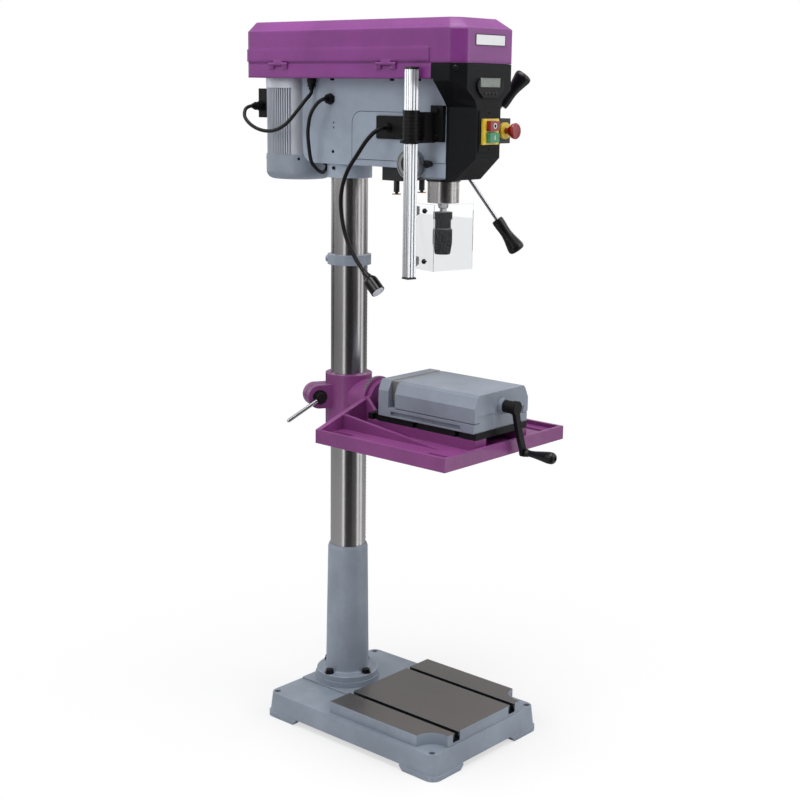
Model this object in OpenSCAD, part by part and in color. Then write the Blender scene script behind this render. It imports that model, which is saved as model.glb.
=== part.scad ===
// Pillar drill on a floor base, with a tilting table, a machine vise and a swing-away chuck guard.
// Millimetres. Origin at the centre of the four floor bolts, on the floor. Z up, front towards -Y.

/* [Base] */
// Width of the base casting at the floor
base_w = 418; // [400:1:450]
// Length of the base casting at the floor
base_l = 580; // [560:1:620]
// Height of the base casting
base_h = 65; // [55:1:80]
// Thickness of the base walls and ribs
base_wall = 11; // [8:1:14]
// Side to side distance of the floor bolts
floor_bolt_x = 376; // [368:1:380]
// Distance of the floor bolts from the front and back ends of the base
bolt_end = 25; // [22:0.5:30]
// Radius of the floor bolt holes
floor_bolt_r = 8; // [6:0.5:9]
// Height of the machined block above the base
block_h = 30; // [26:1:36]
// Width of the machined block
block_w = 380; // [360:1:384]
// Distance between the T-slots
slot_span = 220; // [200:1:240]
// Width of the T-slots at the mouth
slot_w = 14; // [12:1:18]

/* [Column] */
// Distance from the floor centre back to the column axis
column_y = 192.5; // [185:0.5:200]
// Radius of the column
column_r = 46; // [44:0.5:48]
// Wall of the column tube
column_wall = 6; // [4:0.5:9]
// Radius of the foot flange
flange_r = 81; // [79:0.5:84]
// Thickness of the foot flange
flange_t = 15; // [12:1:18]
// Height of the foot casting
foot_h = 361; // [340:1:380]
// Radius of the bolt circle in the flange
foot_bolt_c = 69; // [68:0.5:70]
// Height of the collar above the floor
collar_z = 1180; // [1175:1:1185]
// Height of the collar
collar_h = 25; // [20:1:30]

/* [Table] */
// Height of the table bracket above the floor
bracket_z = 770; // [750:1:790]
// Height of the bracket sleeve
sleeve_h = 132; // [128:1:136]
// Radius of the bracket sleeve
sleeve_r = 59.5; // [58:0.5:61]
// Height of the tilt axis above the bracket's lower end
pivot_up = 75; // [72:1:78]
// Radius of the tilt flanges
tilt_r = 59; // [57:0.5:60]
// Width of the table
table_w = 456; // [440:1:470]
// Depth of the table, front to back
table_l = 406; // [400:1:420]
// Height of the table rim
rim_h = 33; // [30:1:36]
// Thickness of the table rim
rim_t = 9; // [7:1:12]
// Thickness of the table floor
table_floor = 12; // [10:1:14]
// Thickness of the table's tilting back plate
back_t = 14; // [12:1:16]
// Lift rack module
rack_m = 3; // [3:0.5:3]
// Teeth on the lift pinion
lift_teeth = 10; // [10:1:10]

/* [Vise] */
// Width of the vise body
vise_w = 204; // [196:1:208]
// Length of the vise body
vise_l = 296; // [290:1:300]
// Height of the vise base above its plate
vise_base_h = 33; // [32:1:36]
// Height of the sliding block
slide_h = 56; // [52:1:58]
// Thickness of a steel jaw plate
jaw_t = 10; // [8:1:12]
// Radius of the vise screw
vise_screw_r = 9; // [8:0.5:11]
// Length of the vise crank arm
vise_arm = 112; // [100:1:120]

/* [Head] */
// Distance from the column axis to the spindle axis
throat = 304; // [300:1:308]
// Height of the head casting's underside
head_z = 1430; // [1425:1:1435]
// Height of the head casting
head_h = 205; // [203:1:210]
// Width of the head casting
head_w = 120; // [114:1:124]
// Width of the belt cover
cover_w = 220; // [212:1:226]
// Height of the cover pan
pan_h = 35; // [32:1:38]
// Height of the cover lid
lid_h = 100; // [98:1:106]
// Wall of the sheet metal cover
sheet_t = 3; // [2:0.5:4]
// Front face of the black housing, from the floor centre
front_y = 241; // [238:1:244]

/* [Spindle] */
// Radius of the quill
quill_r = 37.5; // [37:0.5:38]
// Travel of the quill
quill_travel = 120; // [110:1:120]
// Feed pinion module
feed_m = 1.5; // [1.5:0.5:1.5]
// Teeth on the feed pinion
feed_teeth = 12; // [12:1:12]
// Outward lean of the feed spokes in degrees
spoke_lean = 20.9; // [18:0.1:23]
// Length from the feed axis to the end of a grip
spoke_l = 260; // [240:1:265]
// Radius of a feed spoke
spoke_r = 4.5; // [4:0.5:5.5]
// Radius of the chuck sleeve
chuck_r = 22.5; // [20:0.5:24]

/* [Motor] */
// Distance from the column axis back to the motor axis
motor_back = 179.5; // [177:0.5:185]
// Radius of the motor flange and end bell
motor_r = 83; // [80:0.5:84]
// Length of the ribbed motor housing
motor_l = 164; // [150:1:170]
// Depth of the cooling ribs
rib_d = 5; // [4:0.5:6]
// Thickness of a V-belt
belt_h = 11; // [9:0.5:12]

/* [Guard] */
// Side of the square guard rail
rail_w = 22.5; // [20:0.5:24]
// Length of the guard rail
rail_l = 479; // [460:1:479]
// Thickness of the clear shield
shield_t = 3; // [3:0.5:5]
// Height of the clear shield
shield_h = 155; // [150:1:165]

/* [Hidden] */
$fn = 64;

// Radial clearance of a shaft in its bearing
run_gap = 0.05;
// Clearance between curved faces that pass each other
pass_gap = 0.3;
// Depth by which a cut runs past the face it opens
past = 1;
// Joint between two pieces that are bolted face to face
seat_gap = 0.02;

spindle_y = column_y - throat;
motor_y = column_y + motor_back;
idler_y = column_y - 52.5;
block_front = -base_l / 2 + 14;
floor_bolt_y = base_l - 2 * bolt_end;
block_back = 72;
foot_boss_h = 20;
foot_z = base_h + foot_boss_h;
foot_top = foot_z + foot_h;
head_top = head_z + head_h;
column_top = head_top - 75;
pan_top = head_top + pan_h;
lid_top = pan_top + lid_h;
cover_back = motor_y + 68;
cover_front = -160;
head_front = -167;
head_back = column_y + 106;

feed_axis_z = head_z + 11;
feed_pitch_r = feed_m * feed_teeth / 2;
feed_rack_at = 32.5;
feed_y = spindle_y + feed_rack_at + feed_pitch_r;
feed_shaft_r = 10;
quill_z0 = head_z - 79;
quill_top = head_top - 35;
bearing_r = 26;
spindle_r = 12.5;
drive_r = 9;

pivot_z = bracket_z + pivot_up;
tilt_face = column_y - 106.5;
table_back = tilt_face;
table_front = table_back - table_l;
rim_top = pivot_z - 39;
table_z = rim_top - rim_h;
floor_top = rim_top - 10;
tilt_bolt_r = 9;
rack_x0 = column_r + pass_gap;
rack_tip = 57;
rack_pitch_x = rack_tip - 0.8 * rack_m;
rack_half = 11;
lift_pitch_r = rack_m * lift_teeth / 2;
lift_x = rack_pitch_x + lift_pitch_r;
lift_z = bracket_z + 72;
worm_r = 9;
wheel_r = 20;
worm_z = lift_z - wheel_r - worm_r - pass_gap;
wheel_y = column_y + 24;
gear_box_x = 106;

vise_z = floor_top + 25;
vise_plate_h = 16;
vise_body_z = vise_z + vise_plate_h;
vise_back = -4;
vise_front = vise_back - vise_l;
rail_z = vise_body_z + vise_base_h;
rail_half = vise_w / 2 - 14;
vise_screw_z = rail_z + 20;
jaw_face = vise_back - 32;
jaw_top = rail_z + 55;
slide_back = jaw_face - 2 * jaw_t - 1;
slide_front = slide_back - 245;

guard_x = -130;
guard_y = -121;
rail_z0 = head_z - 248;
sleeve_z0 = head_z + 68;
sleeve_z1 = head_z + 135;
guard_turn = -14;

// Routes of the two leads that the machine holds between its glands
motor_route = [
    [-61, 472, 1565], [-66.5, 472, 1565], [-72, 472, 1565], [-89, 474, 1558], [-104, 462, 1539],
    [-108, 438, 1521], [-109, 406, 1509], [-109, 370, 1505], [-108, 336, 1511], [-105, 305, 1528],
    [-98, 280, 1555], [-86, 262, 1582], [-75, 256, 1596], [-72, 255, 1603], [-72, 255, 1607.5],
    [-72, 255, 1612]
];
switch_route = [
    [-73, 199, 1586], [-78.5, 199, 1586], [-84, 199, 1586], [-96, 209, 1577], [-101, 227, 1552],
    [-101, 236, 1524], [-99, 240, 1494], [-91, 239, 1441], [-80, 238, 1424], [-62, 241, 1412],
    [-40, 249, 1406], [-22, 258, 1408], [-11.5, 262, 1414], [-10, 262, 1420], [-10, 262, 1425],
    [-10, 262, 1430]
];
lamp_route = [
    [-66, 4, 1523], [-86, 1, 1522], [-104, -1, 1519], [-116, 8, 1510], [-122, 28, 1488],
    [-125, 52, 1457], [-125, 74, 1431], [-125, 91, 1402], [-125, 101, 1370], [-125, 103, 1340],
    [-125, 98, 1304], [-125, 88, 1270], [-125, 72, 1240], [-125, 50, 1210], [-125, 25, 1184]
];
lead_r = 4.5;
neck_r = 5;

function unit(v) = v / norm(v);
function arc(cx, cy, r, a0, a1, n) =
    [for (i = [0:n]) let (a = a0 + (a1 - a0) * i / n) [cx + r * cos(a), cy + r * sin(a)]];
function tangent_at(p, i) = unit(p[min(i + 1, len(p) - 1)] - p[max(i - 1, 0)]);

// Ring of n points around one point of a route, turned so that it never flips along the way
function ring(p, i, r, n) =
    let (t = tangent_at(p, i), ref = [0.37, 0.2, 0.91])
    let (u = unit(cross(t, ref)), v = cross(t, u))
    [for (k = [0:n - 1]) p[i] + r * (cos(360 * k / n) * u + sin(360 * k / n) * v)];

module tube_along(p, r, n = 8) {
    rings = [for (i = [0:len(p) - 1]) each ring(p, i, r, n)];
    last = (len(p) - 1) * n;
    sides = [
        for (i = [0:len(p) - 2], k = [0:n - 1])
        let (a = i * n + k, b = i * n + (k + 1) % n)
        each [[a, b + n, b], [a, a + n, b + n]]
    ];
    polyhedron(rings, concat(
        [[for (k = [0:n - 1]) k]], sides, [[for (k = [n - 1:-1:0]) last + k]]
    ));
}

// Points halved once between the hand-set points, on a smooth curve through them
function smooth(p) = [
    for (i = [0:len(p) - 2])
    let (a = p[max(i - 1, 0)], b = p[i], c = p[i + 1], d = p[min(i + 2, len(p) - 1)])
    each [b, (9 * (b + c) - a - d) / 16],
    p[len(p) - 1]
];

module at_x(x) { translate([x, 0, 0]) rotate([0, 90, 0]) children(); }
module rod_x(x0, x1, r) { translate([x0, 0, 0]) rotate([0, 90, 0]) cylinder(r = r, h = x1 - x0); }
module rod_y(y0, y1, r) { translate([0, y0, 0]) rotate([-90, 0, 0]) cylinder(r = r, h = y1 - y0); }
module both_x() { children(); mirror([1, 0, 0]) children(); }
module block(x0, x1, y0, y1, z0, z1) {
    translate([x0, y0, z0]) cube([x1 - x0, y1 - y0, z1 - z0]);
}
// Plate with its outline in X and Z, from y0 to y1
module plate_y(y0, y1) { translate([0, y1, 0]) rotate([90, 0, 0]) linear_extrude(y1 - y0) children(); }
// Plate with its outline in Y and Z, from x0 to x1
module plate_x(x0, x1) {
    translate([x0, 0, 0]) rotate([90, 0, 90]) linear_extrude(x1 - x0) children();
}
module rounded_slab(w, l, r, z, h) {
    hull() for (x = [-1, 1], y = [-1, 1])
        translate([x * (w / 2 - r), y * (l / 2 - r), z]) cylinder(r = r, h = h, $fn = 32);
}
module hex_screw(head_r, head_h, shank_r, shank_l) {
    cylinder(r = head_r, h = head_h, $fn = 6);
    translate([0, 0, -shank_l]) cylinder(r = shank_r, h = shank_l + past);
}
module at_floor_bolts() {
    for (x = [-1, 1], y = [-1, 1])
        translate([x * floor_bolt_x / 2, y * floor_bolt_y / 2, 0]) children();
}
module at_foot_bolts() {
    for (a = [0:90:270]) translate([0, column_y, foot_z + flange_t]) rotate([0, 0, a])
        translate([foot_bolt_c, 0, 0]) children();
}

// Gear with thinned involute-like teeth: m module, n teeth, one tooth on the +X axis
function tooth_flank(m, n) =
    let (rp = m * n / 2, rb = rp * cos(20), ra = rp + 0.8 * m, ri = rp - 1.05 * m)
    let (half = 90 / n - 4.5 * 12 / n / 4, inv_p = tan(20) * 180 / PI - 20)
    concat([[ri, half + inv_p + 1]], [
        for (k = [0:4]) let (r = max(rb, ri) + (ra - max(rb, ri)) * k / 4)
        let (al = acos(min(1, rb / r)), inv = tan(al) * 180 / PI - al)
        [r, half + inv_p - inv]
    ]);
module gear_2d(m, n) {
    flank = tooth_flank(m, n);
    polygon([
        for (t = [0:n - 1]) each concat(
            [for (p = flank) let (a = 360 * t / n - p[1]) [p[0] * cos(a), p[0] * sin(a)]],
            [for (i = [len(flank) - 1:-1:0]) let (p = flank[i], a = 360 * t / n + p[1])
                [p[0] * cos(a), p[0] * sin(a)]]
        )
    ]);
}
// Gaps of a rack, cut to depth below its pitch line: x is the depth direction, gap centred on y = 0
module rack_gap(m) {
    w = PI * m / 4;
    polygon([
        [-1.15 * m, w - 1.15 * m * tan(20)], [1.6 * m, w + 1.6 * m * tan(20)],
        [1.6 * m, -w - 1.6 * m * tan(20)], [-1.15 * m, -w + 1.15 * m * tan(20)]
    ]);
}

module base() color("slategray") difference() {
    union() {
        rounded_slab(base_w, base_l, 26, 0, 13);
        hull() {
            rounded_slab(base_w - 5, base_l - 6, 24, 12, 1);
            rounded_slab(base_w - 11, base_l - 20, 22, base_h - 1, 1);
        }
        block(-block_w / 2, block_w / 2, block_front, block_back, base_h - past, base_h + block_h);
        block(-86, 86, block_back - past, base_l / 2 - 14, base_h - past, base_h + 5);
        translate([0, column_y, base_h - past]) cylinder(r = flange_r + 4, h = foot_boss_h + past);
    }
    base_hollows();
    translate([0, base_l / 2 + past, 0]) rotate([90, 0, 0])
        linear_extrude(base_l + 2 * past) foot_arch(base_w / 2 - 100);
    translate([-base_w / 2 - past, 0, 0]) rotate([90, 0, 90])
        linear_extrude(base_w + 2 * past) foot_arch(base_l / 2 - 100);
    at_floor_bolts() translate([0, 0, -past]) cylinder(r = floor_bolt_r, h = base_h + 2 * past);
    for (x = [-1, 1]) translate([x * floor_bolt_x / 2, -floor_bolt_y / 2, base_h])
        cylinder(r = 47, h = block_h + past);
    both_x() t_slot(slot_span / 2);
    at_foot_bolts() translate([0, 0, -flange_t - 28]) cylinder(r = 6.2, h = 28 + past);
}
module foot_arch(half) {
    polygon([[-half, -past], [-half + 14, 15], [half - 14, 15], [half, -past]]);
}
module base_hollows() {
    cells_x = 3;
    cells_y = 4;
    cell_w = (base_w - 16 - base_wall) / cells_x;
    cell_l = (base_l - 26 - base_wall) / cells_y;
    difference() {
        for (i = [0:cells_x - 1], j = [0:cells_y - 1])
            translate([(i - 1) * cell_w, (j - 1.5) * cell_l, 0])
                block(-(cell_w - base_wall) / 2, (cell_w - base_wall) / 2,
                    -(cell_l - base_wall) / 2, (cell_l - base_wall) / 2, -past, base_h - base_wall - 4);
        at_floor_bolts() translate([0, 0, -2]) cylinder(r = floor_bolt_r + 14, h = base_h);
    }
}
module t_slot(x) {
    top = base_h + block_h;
    block(x - slot_w / 2, x + slot_w / 2, block_front - past, block_back + past, top - 13, top + past);
    block(x - slot_w / 2 - 5, x + slot_w / 2 + 5, block_front - past, block_back + past, top - 23, top - 12);
}

module column_foot() color("slategray") difference() {
    translate([0, column_y, foot_z]) rotate_extrude() polygon(concat(
        [[column_r + run_gap, 0], [flange_r, 0], [flange_r, flange_t - 2], [flange_r - 2, flange_t]],
        [[column_r + 17, flange_t]],
        arc(column_r + 17, flange_t + 6, 6, 270, 186, 5),
        [[column_r + 6, foot_h - 8], [column_r + 3, foot_h], [column_r + run_gap, foot_h]]
    ));
    at_foot_bolts() translate([0, 0, -flange_t - past]) cylinder(r = 6.5, h = flange_t + 2 * past);
    at_foot_bolts() cylinder(r = 12.2, h = 6);
}
module foot_bolts() color("gray") at_foot_bolts() {
    difference() {
        cylinder(r = 12, h = 2.5);
        translate([0, 0, -past]) cylinder(r = 6.1, h = 5);
    }
    translate([0, 0, 2.5]) hex_screw(10, 8, 6, 34);
}
module column() color("lightgray") translate([0, column_y, foot_z]) difference() {
    cylinder(r = column_r, h = column_top - foot_z, $fn = 128);
    translate([0, 0, -past])
        cylinder(r = column_r - column_wall, h = column_top - foot_z + 2 * past, $fn = 128);
}

// The ear of the collar points to the left rear, where a key reaches its screw
ear_turn = 131.4;
module rack_collar() color("lightslategray") translate([0, column_y, collar_z]) difference() {
    union() {
        cylinder(r = column_r + 9, h = collar_h);
        rotate([0, 0, ear_turn]) translate([0, 0, collar_h / 2]) rod_x(column_r, column_r + 13, 8);
    }
    translate([0, 0, -past]) cylinder(r = column_r + run_gap, h = collar_h + 2 * past);
    rotate([0, 0, ear_turn]) translate([0, 0, collar_h / 2]) rod_x(column_r - 2, column_r + 15, 4.2);
}
module set_screw() {
    difference() {
        rod_x(0, 13.5, 4);
        rod_x(9, 15, 2);
    }
}
module lock_screws() color("dimgray") {
    translate([0, column_y, collar_z + collar_h / 2]) rotate([0, 0, ear_turn])
        translate([column_r + 0.5, 0, 0]) set_screw();
    for (z = [head_z - 10, head_z + 30])
        translate([0, column_y, z]) rotate([0, 0, 180]) translate([column_r + 0.5, 0, 0]) set_screw();
}
module lift_rack() color("gray") difference() {
    translate([0, column_y, 0])
        block(rack_x0 - 2, rack_tip, -rack_half, rack_half, foot_top + pass_gap, collar_z - pass_gap);
    translate([0, column_y, 0]) cylinder(r = rack_x0, h = 2000, $fn = 128);
    pitch = PI * rack_m;
    below = floor((lift_z - foot_top - 8) / pitch);
    above = floor((collar_z - 8 - lift_z) / pitch);
    for (k = [-below:above]) translate([rack_pitch_x, 0, lift_z + k * pitch])
        plate_y(column_y - rack_half - past, column_y + rack_half + past) rack_gap(rack_m);
}

// The clamp of the sleeve sits at the left rear, turned about the column
clamp_turn = 151;
clamp_out = 85;
module at_clamp() { translate([0, column_y, pivot_z + 1]) rotate([0, 0, clamp_turn]) children(); }
module table_bracket() color("purple") difference() {
    union() {
        translate([0, column_y, bracket_z]) cylinder(r = sleeve_r, h = sleeve_h, $fn = 96);
        translate([0, 0, pivot_z]) rod_y(tilt_face + 11, column_y, tilt_r - 13);
        translate([0, 0, pivot_z]) rod_y(tilt_face, tilt_face + 12, tilt_r);
        at_clamp() hull() {
            translate([clamp_out, 0, 0]) rod_y(-27, 27, 30);
            block(40, 50, -27, 27, -30, 30);
        }
        translate([0, column_y, 0]) block(40, gear_box_x, -22, 46, worm_z - 16, lift_z + 28);
    }
    translate([0, column_y, bracket_z - past])
        cylinder(r = column_r + run_gap, h = sleeve_h + 2 * past, $fn = 128);
    translate([0, column_y, 0]) block(40, rack_tip + pass_gap, -rack_half - pass_gap,
        rack_half + pass_gap, bracket_z - past, bracket_z + sleeve_h + past);
    at_clamp() block(column_r - 4, clamp_out + 40, -1.5, 1.5, -100, 100);
    at_clamp() translate([clamp_out, 0, 0]) rod_y(-40, 40, 8 + run_gap);
    translate([0, 0, pivot_z]) rod_y(tilt_face - past, tilt_face + 34, tilt_bolt_r + run_gap);
    lift_hollows();
}
module lift_hollows() {
    translate([lift_x, column_y, lift_z]) rod_y(-15, 15, lift_pitch_r + rack_m + 1);
    translate([lift_x, wheel_y, lift_z]) rod_y(-9.2, 9.2, wheel_r + 2.6);
    translate([lift_x, column_y, lift_z]) rod_y(-18, 40, 6 + run_gap);
    translate([0, wheel_y, worm_z]) rod_x(lift_x - 15, lift_x + 15, worm_r + pass_gap);
    translate([0, wheel_y, worm_z]) rod_x(lift_x - 20, gear_box_x + past, 6 + run_gap);
}
module lift_gear() color("gray") {
    translate([lift_x, column_y, lift_z]) {
        plate_y(-rack_half, rack_half) rotate(180) gear_2d(rack_m, lift_teeth);
        rod_y(-17.5, 39.5, 6);
    }
    translate([lift_x, wheel_y, lift_z]) plate_y(-9, 9) gear_2d(2, 20);
}
lift_arm_x = gear_box_x + 16;
lift_arm_l = 88;
module lift_crank() color("dimgray") {
    translate([0, wheel_y, worm_z]) {
        rod_x(lift_x - 19.5, lift_arm_x + 8, 6);
        rod_x(lift_x - 14.5, lift_x + 14.5, worm_r - 2.2);
        rod_x(lift_arm_x - 9, lift_arm_x + 8, 12);
        block(lift_arm_x - 5, lift_arm_x + 5, -9, 9, -lift_arm_l, 0);
        translate([0, 0, -lift_arm_l]) {
            rod_x(lift_arm_x - 5, lift_arm_x + 5, 11);
            rod_x(lift_arm_x, lift_arm_x + 12, 5);
            at_x(lift_arm_x + 8) rotate_extrude() polygon(concat(
                [[0, 0], [7, 0]], arc(-23.2, 44, 37.2, -28, 14, 5), [[8, 66], [0, 66]]
            ));
        }
    }
}
module lock_lever() color("silver") at_clamp() translate([clamp_out, 0, 0]) {
    rod_y(-37, 34, 8);
    rod_y(-34, -27.2, 18.5);
    rod_y(27.2, 30, 18.5);
    rod_y(30, 46, 13);
    translate([0, 38, 0]) rotate([0, 32, 0]) {
        rod_x(0, 100, 4.8);
        translate([100, 0, 0]) sphere(r = 4.8, $fn = 32);
    }
}

module table() color("purple") difference() {
    union() {
        difference() {
            block(-table_w / 2, table_w / 2, table_front, table_back, table_z, rim_top);
            block(-table_w / 2 + rim_t, table_w / 2 - rim_t, table_front + rim_t, table_back - back_t,
                floor_top, rim_top + past);
            block(-table_w / 2 + rim_t, table_w / 2 - rim_t, table_front + rim_t, table_back - back_t,
                table_z - past, floor_top - table_floor);
        }
        plate_y(table_back - back_t, table_back) back_outline();
        both_x() {
            plate_x(135, 145) rib_outline();
            plate_x(53, 63) gusset_outline();
            block(58, vise_w / 2 - 4, vise_front - 3, 33, floor_top - past, vise_z);
            for (y = [-215, -90]) block(10, table_w / 2 - 5, y - 5, y + 5, table_z + 3, floor_top - past);
        }
        block(-5, 5, table_front + 5, table_back - 5, table_z + 3, floor_top - past);
        plate_y(table_back - back_t - 12, table_back) translate([0, pivot_z]) circle(r = 24);
    }
    both_x() for (y = [38, -264]) translate([182, y, floor_top - table_floor - past]) {
        for (d = [-25, 25]) translate([0, d, 0]) cylinder(r = 8, h = table_floor + 2 * past);
        block(-8, 8, -25, 25, 0, table_floor + 2 * past);
    }
    translate([0, 0, pivot_z]) rod_y(table_back - 60, table_back + past, tilt_bolt_r + run_gap);
}
module back_outline() {
    r = 50;
    polygon(concat(
        [[-table_w / 2, rim_top - 8], [table_w / 2, rim_top - 8], [table_w / 2, rim_top]],
        arc(0, pivot_z, r, 22, 158, 16),
        [[-table_w / 2, rim_top]]
    ));
}
module rib_outline() {
    polygon([
        [table_back - 2, floor_top - past], [table_back - 2, pivot_z - 13],
        [table_back - back_t, pivot_z - 13], [-240, floor_top], [-240, floor_top - past]
    ]);
}
module gusset_outline() {
    polygon([
        [table_back - 2, floor_top - past], [table_back - 2, pivot_z + 17],
        [table_back - back_t, pivot_z + 17], [12, floor_top], [12, floor_top - past]
    ]);
}
module tilt_bolt() color("dimgray") translate([0, 0, pivot_z]) {
    difference() {
        rod_y(table_back - back_t - 24, tilt_face + 33.5, tilt_bolt_r);
        rod_y(tilt_face, tilt_face + 40, 2);
    }
    translate([0, table_back - back_t - 12, 0]) rotate([90, 0, 0]) cylinder(r = 16, h = 12, $fn = 6);
}

module vise_plate() color("#222222") difference() {
    block(-vise_w / 2 + 4, vise_w / 2 - 4, vise_front - 3, 33, vise_z, vise_body_z);
    both_x() for (y = [10, -120, -250])
        block(vise_w / 2 - 12, vise_w / 2, y - 8, y + 8, vise_z - past, vise_body_z + past);
}
// Dovetail rail along the vise: half width at its root and at its top
module rail_profile(grow) {
    polygon([
        [-rail_half + 8 - grow, vise_body_z + 22 - grow], [-rail_half - grow, rail_z + 6 + grow],
        [rail_half + grow, rail_z + 6 + grow], [rail_half - 8 + grow, vise_body_z + 22 - grow]
    ]);
}
nut_back = slide_back - 108;
module vise_base() color("lightslategray") difference() {
    union() {
        block(-vise_w / 2, vise_w / 2, vise_front, vise_back, vise_body_z, vise_body_z + 22);
        plate_y(vise_front, vise_back) rail_profile(0);
        plate_y(jaw_face, vise_back) polygon([
            [-vise_w / 2, vise_body_z + 21], [vise_w / 2, vise_body_z + 21],
            [vise_w / 2, rail_z + 30], [vise_w / 2 - 12, jaw_top],
            [-vise_w / 2 + 12, jaw_top], [-vise_w / 2, rail_z + 30]
        ]);
        block(-15, 15, nut_back - 26, nut_back, rail_z + 5, vise_screw_z + 15);
    }
    translate([0, 0, vise_screw_z]) rod_y(nut_back - 27, nut_back + past, vise_screw_r + run_gap);
    both_x() plate_y(vise_front + 40, vise_back - 40) polygon([
        [vise_w / 2 - 8, vise_body_z + 5], [vise_w / 2 + past, vise_body_z + 4],
        [vise_w / 2 + past, vise_body_z + 14], [vise_w / 2 - 8, vise_body_z + 13]
    ]);
}
module fixed_jaw() color("silver") difference() {
    block(-vise_w / 2 + 12, vise_w / 2 - 12, jaw_face - jaw_t, jaw_face, rail_z + 6, jaw_top - 1);
    translate([0, 0, rail_z + 30]) for (x = [-50, 50]) translate([x, 0, 0])
        rod_y(jaw_face - jaw_t - past, jaw_face - jaw_t + 5, 6);
}
module moving_jaw() color("silver") difference() {
    block(-vise_w / 2 + 12, vise_w / 2 - 12, slide_back, slide_back + jaw_t,
        rail_z + 6 + pass_gap, jaw_top - 1);
    translate([0, 0, rail_z + 30]) for (x = [-50, 50]) translate([x, 0, 0])
        rod_y(slide_back + jaw_t - 5, slide_back + jaw_t + past, 6);
}
module vise_slide() color("lightslategray") difference() {
    union() {
        plate_y(slide_front, slide_back) polygon([
            [-vise_w / 2, vise_body_z + 24], [vise_w / 2, vise_body_z + 24],
            [vise_w / 2, rail_z + 26], [vise_w / 2 - 12, rail_z + slide_h - 6],
            [vise_w / 2 - 18, rail_z + slide_h], [-vise_w / 2 + 18, rail_z + slide_h],
            [-vise_w / 2 + 12, rail_z + slide_h - 6], [-vise_w / 2, rail_z + 26]
        ]);
        translate([0, 0, vise_screw_z]) rod_y(slide_front - 11, slide_front + past, 19);
    }
    plate_y(slide_front - past, slide_back + past) rail_profile(pass_gap);
    block(-17, 17, nut_back - 30, slide_back - 4, rail_z, vise_screw_z + 18);
    translate([0, 0, vise_screw_z]) rod_y(slide_front - 12, slide_back - 4, vise_screw_r + run_gap);
}
crank_y = slide_front - 11;
arm_y = crank_y - 30;
function arm_point(t) = [34 * pow(t, 1.6), -vise_arm * t + 6 * sin(180 * t)];
module vise_crank() color("#222222") {
    translate([0, 0, vise_screw_z]) {
        rod_y(arm_y - 6, slide_back - 8, vise_screw_r);
        rod_y(arm_y - 6, crank_y, 15);
        plate_y(arm_y - 5, arm_y + 5) {
            circle(r = 17);
            polygon(concat(
                [for (i = [0:8]) arm_point(i / 8) + [8.5, 0]],
                [for (i = [8:-1:0]) arm_point(i / 8) - [8.5, 0]]
            ));
            translate(arm_point(1)) circle(r = 10.5);
        }
        translate([arm_point(1)[0], 0, arm_point(1)[1]]) rod_y(arm_y - 88, arm_y, 4);
    }
}
grip_y = arm_y - 7;
module vise_grip() color("#222222")
    translate([arm_point(1)[0], grip_y, vise_screw_z + arm_point(1)[1]]) rotate([90, 0, 0])
        rotate_extrude() polygon(concat(
            [[4 + run_gap, 0], [8, 0], [9.5, 4], [7.5, 12], [8.5, 26], [12, 50], [14.2, 66]],
            arc(3.2, 74, 11, 10, 80, 5),
            [[4 + run_gap, 85]]
        ));

head_barrel_r = 50;
module head() color("lightslategray") {
    difference() {
        union() {
            plate_x(-head_w / 2, head_w / 2) head_side();
            both_x() plate_x(head_w / 2 - past, head_w / 2 + 1.5) side_panel();
            translate([0, column_y, head_z - 34]) cylinder(r = column_r + 10, h = 60);
            translate([0, spindle_y, head_z - 23]) cylinder(r = head_barrel_r, h = 60);
            translate([0, feed_y, feed_axis_z]) rod_x(-head_w / 2, head_w / 2 + 6, 26);
        }
        translate([0, column_y, head_z - 35])
            cylinder(r = column_r + run_gap, h = column_top - head_z + 35, $fn = 128);
        translate([0, spindle_y, head_z - 24])
            cylinder(r = quill_r + run_gap, h = quill_top - head_z + 30, $fn = 128);
        translate([0, spindle_y, head_z]) cylinder(r = drive_r + 8 + run_gap, h = head_h + past);
        translate([0, feed_y, feed_axis_z]) {
            rod_x(-head_w / 2 - 2, head_w / 2 + 7, feed_shaft_r + run_gap);
            rod_x(-22, 22, feed_pitch_r + 2.4);
        }
        translate([0, motor_y, head_z - 50]) cylinder(r = motor_r + 4, h = head_h + 60);
        for (z = [-10, 30]) translate([0, column_y, head_z + z]) rod_x(-head_w / 2 - past, -column_r, 4.2);
        for (z = [88, 100]) translate([0, column_y - 2, head_z + z]) rod_x(-head_w / 2 - past, -head_w / 2 + 8, 2.6);
        translate([0, quill_lock_y, feed_axis_z + 2]) rod_x(-head_w / 2 - 2, -38, 5 + run_gap);
    }
    translate([0, spindle_y, head_z - 29]) difference() {
        cylinder(r = quill_r + 3, h = 6);
        translate([0, 0, -past]) cylinder(r = quill_r + pass_gap, h = 8);
    }
}
quill_lock_y = spindle_y - 12;
module head_side() {
    polygon(concat(
        [[head_front, head_z - 18], [feed_y + 32, head_z - 18], [feed_y + 44, head_z]],
        arc(head_back - 36, head_z + 36, 36, 270, 345, 6),
        [[head_back, head_z + 60], [head_back, head_top], [head_front, head_top]]
    ));
}
module side_panel() {
    polygon(concat(
        [[head_front, head_z + 16], [column_y - 66, head_z + 16]],
        arc(column_y - 94, head_z + 100, 28, 0, 90, 6),
        [[head_front, head_z + 128]]
    ));
}
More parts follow.
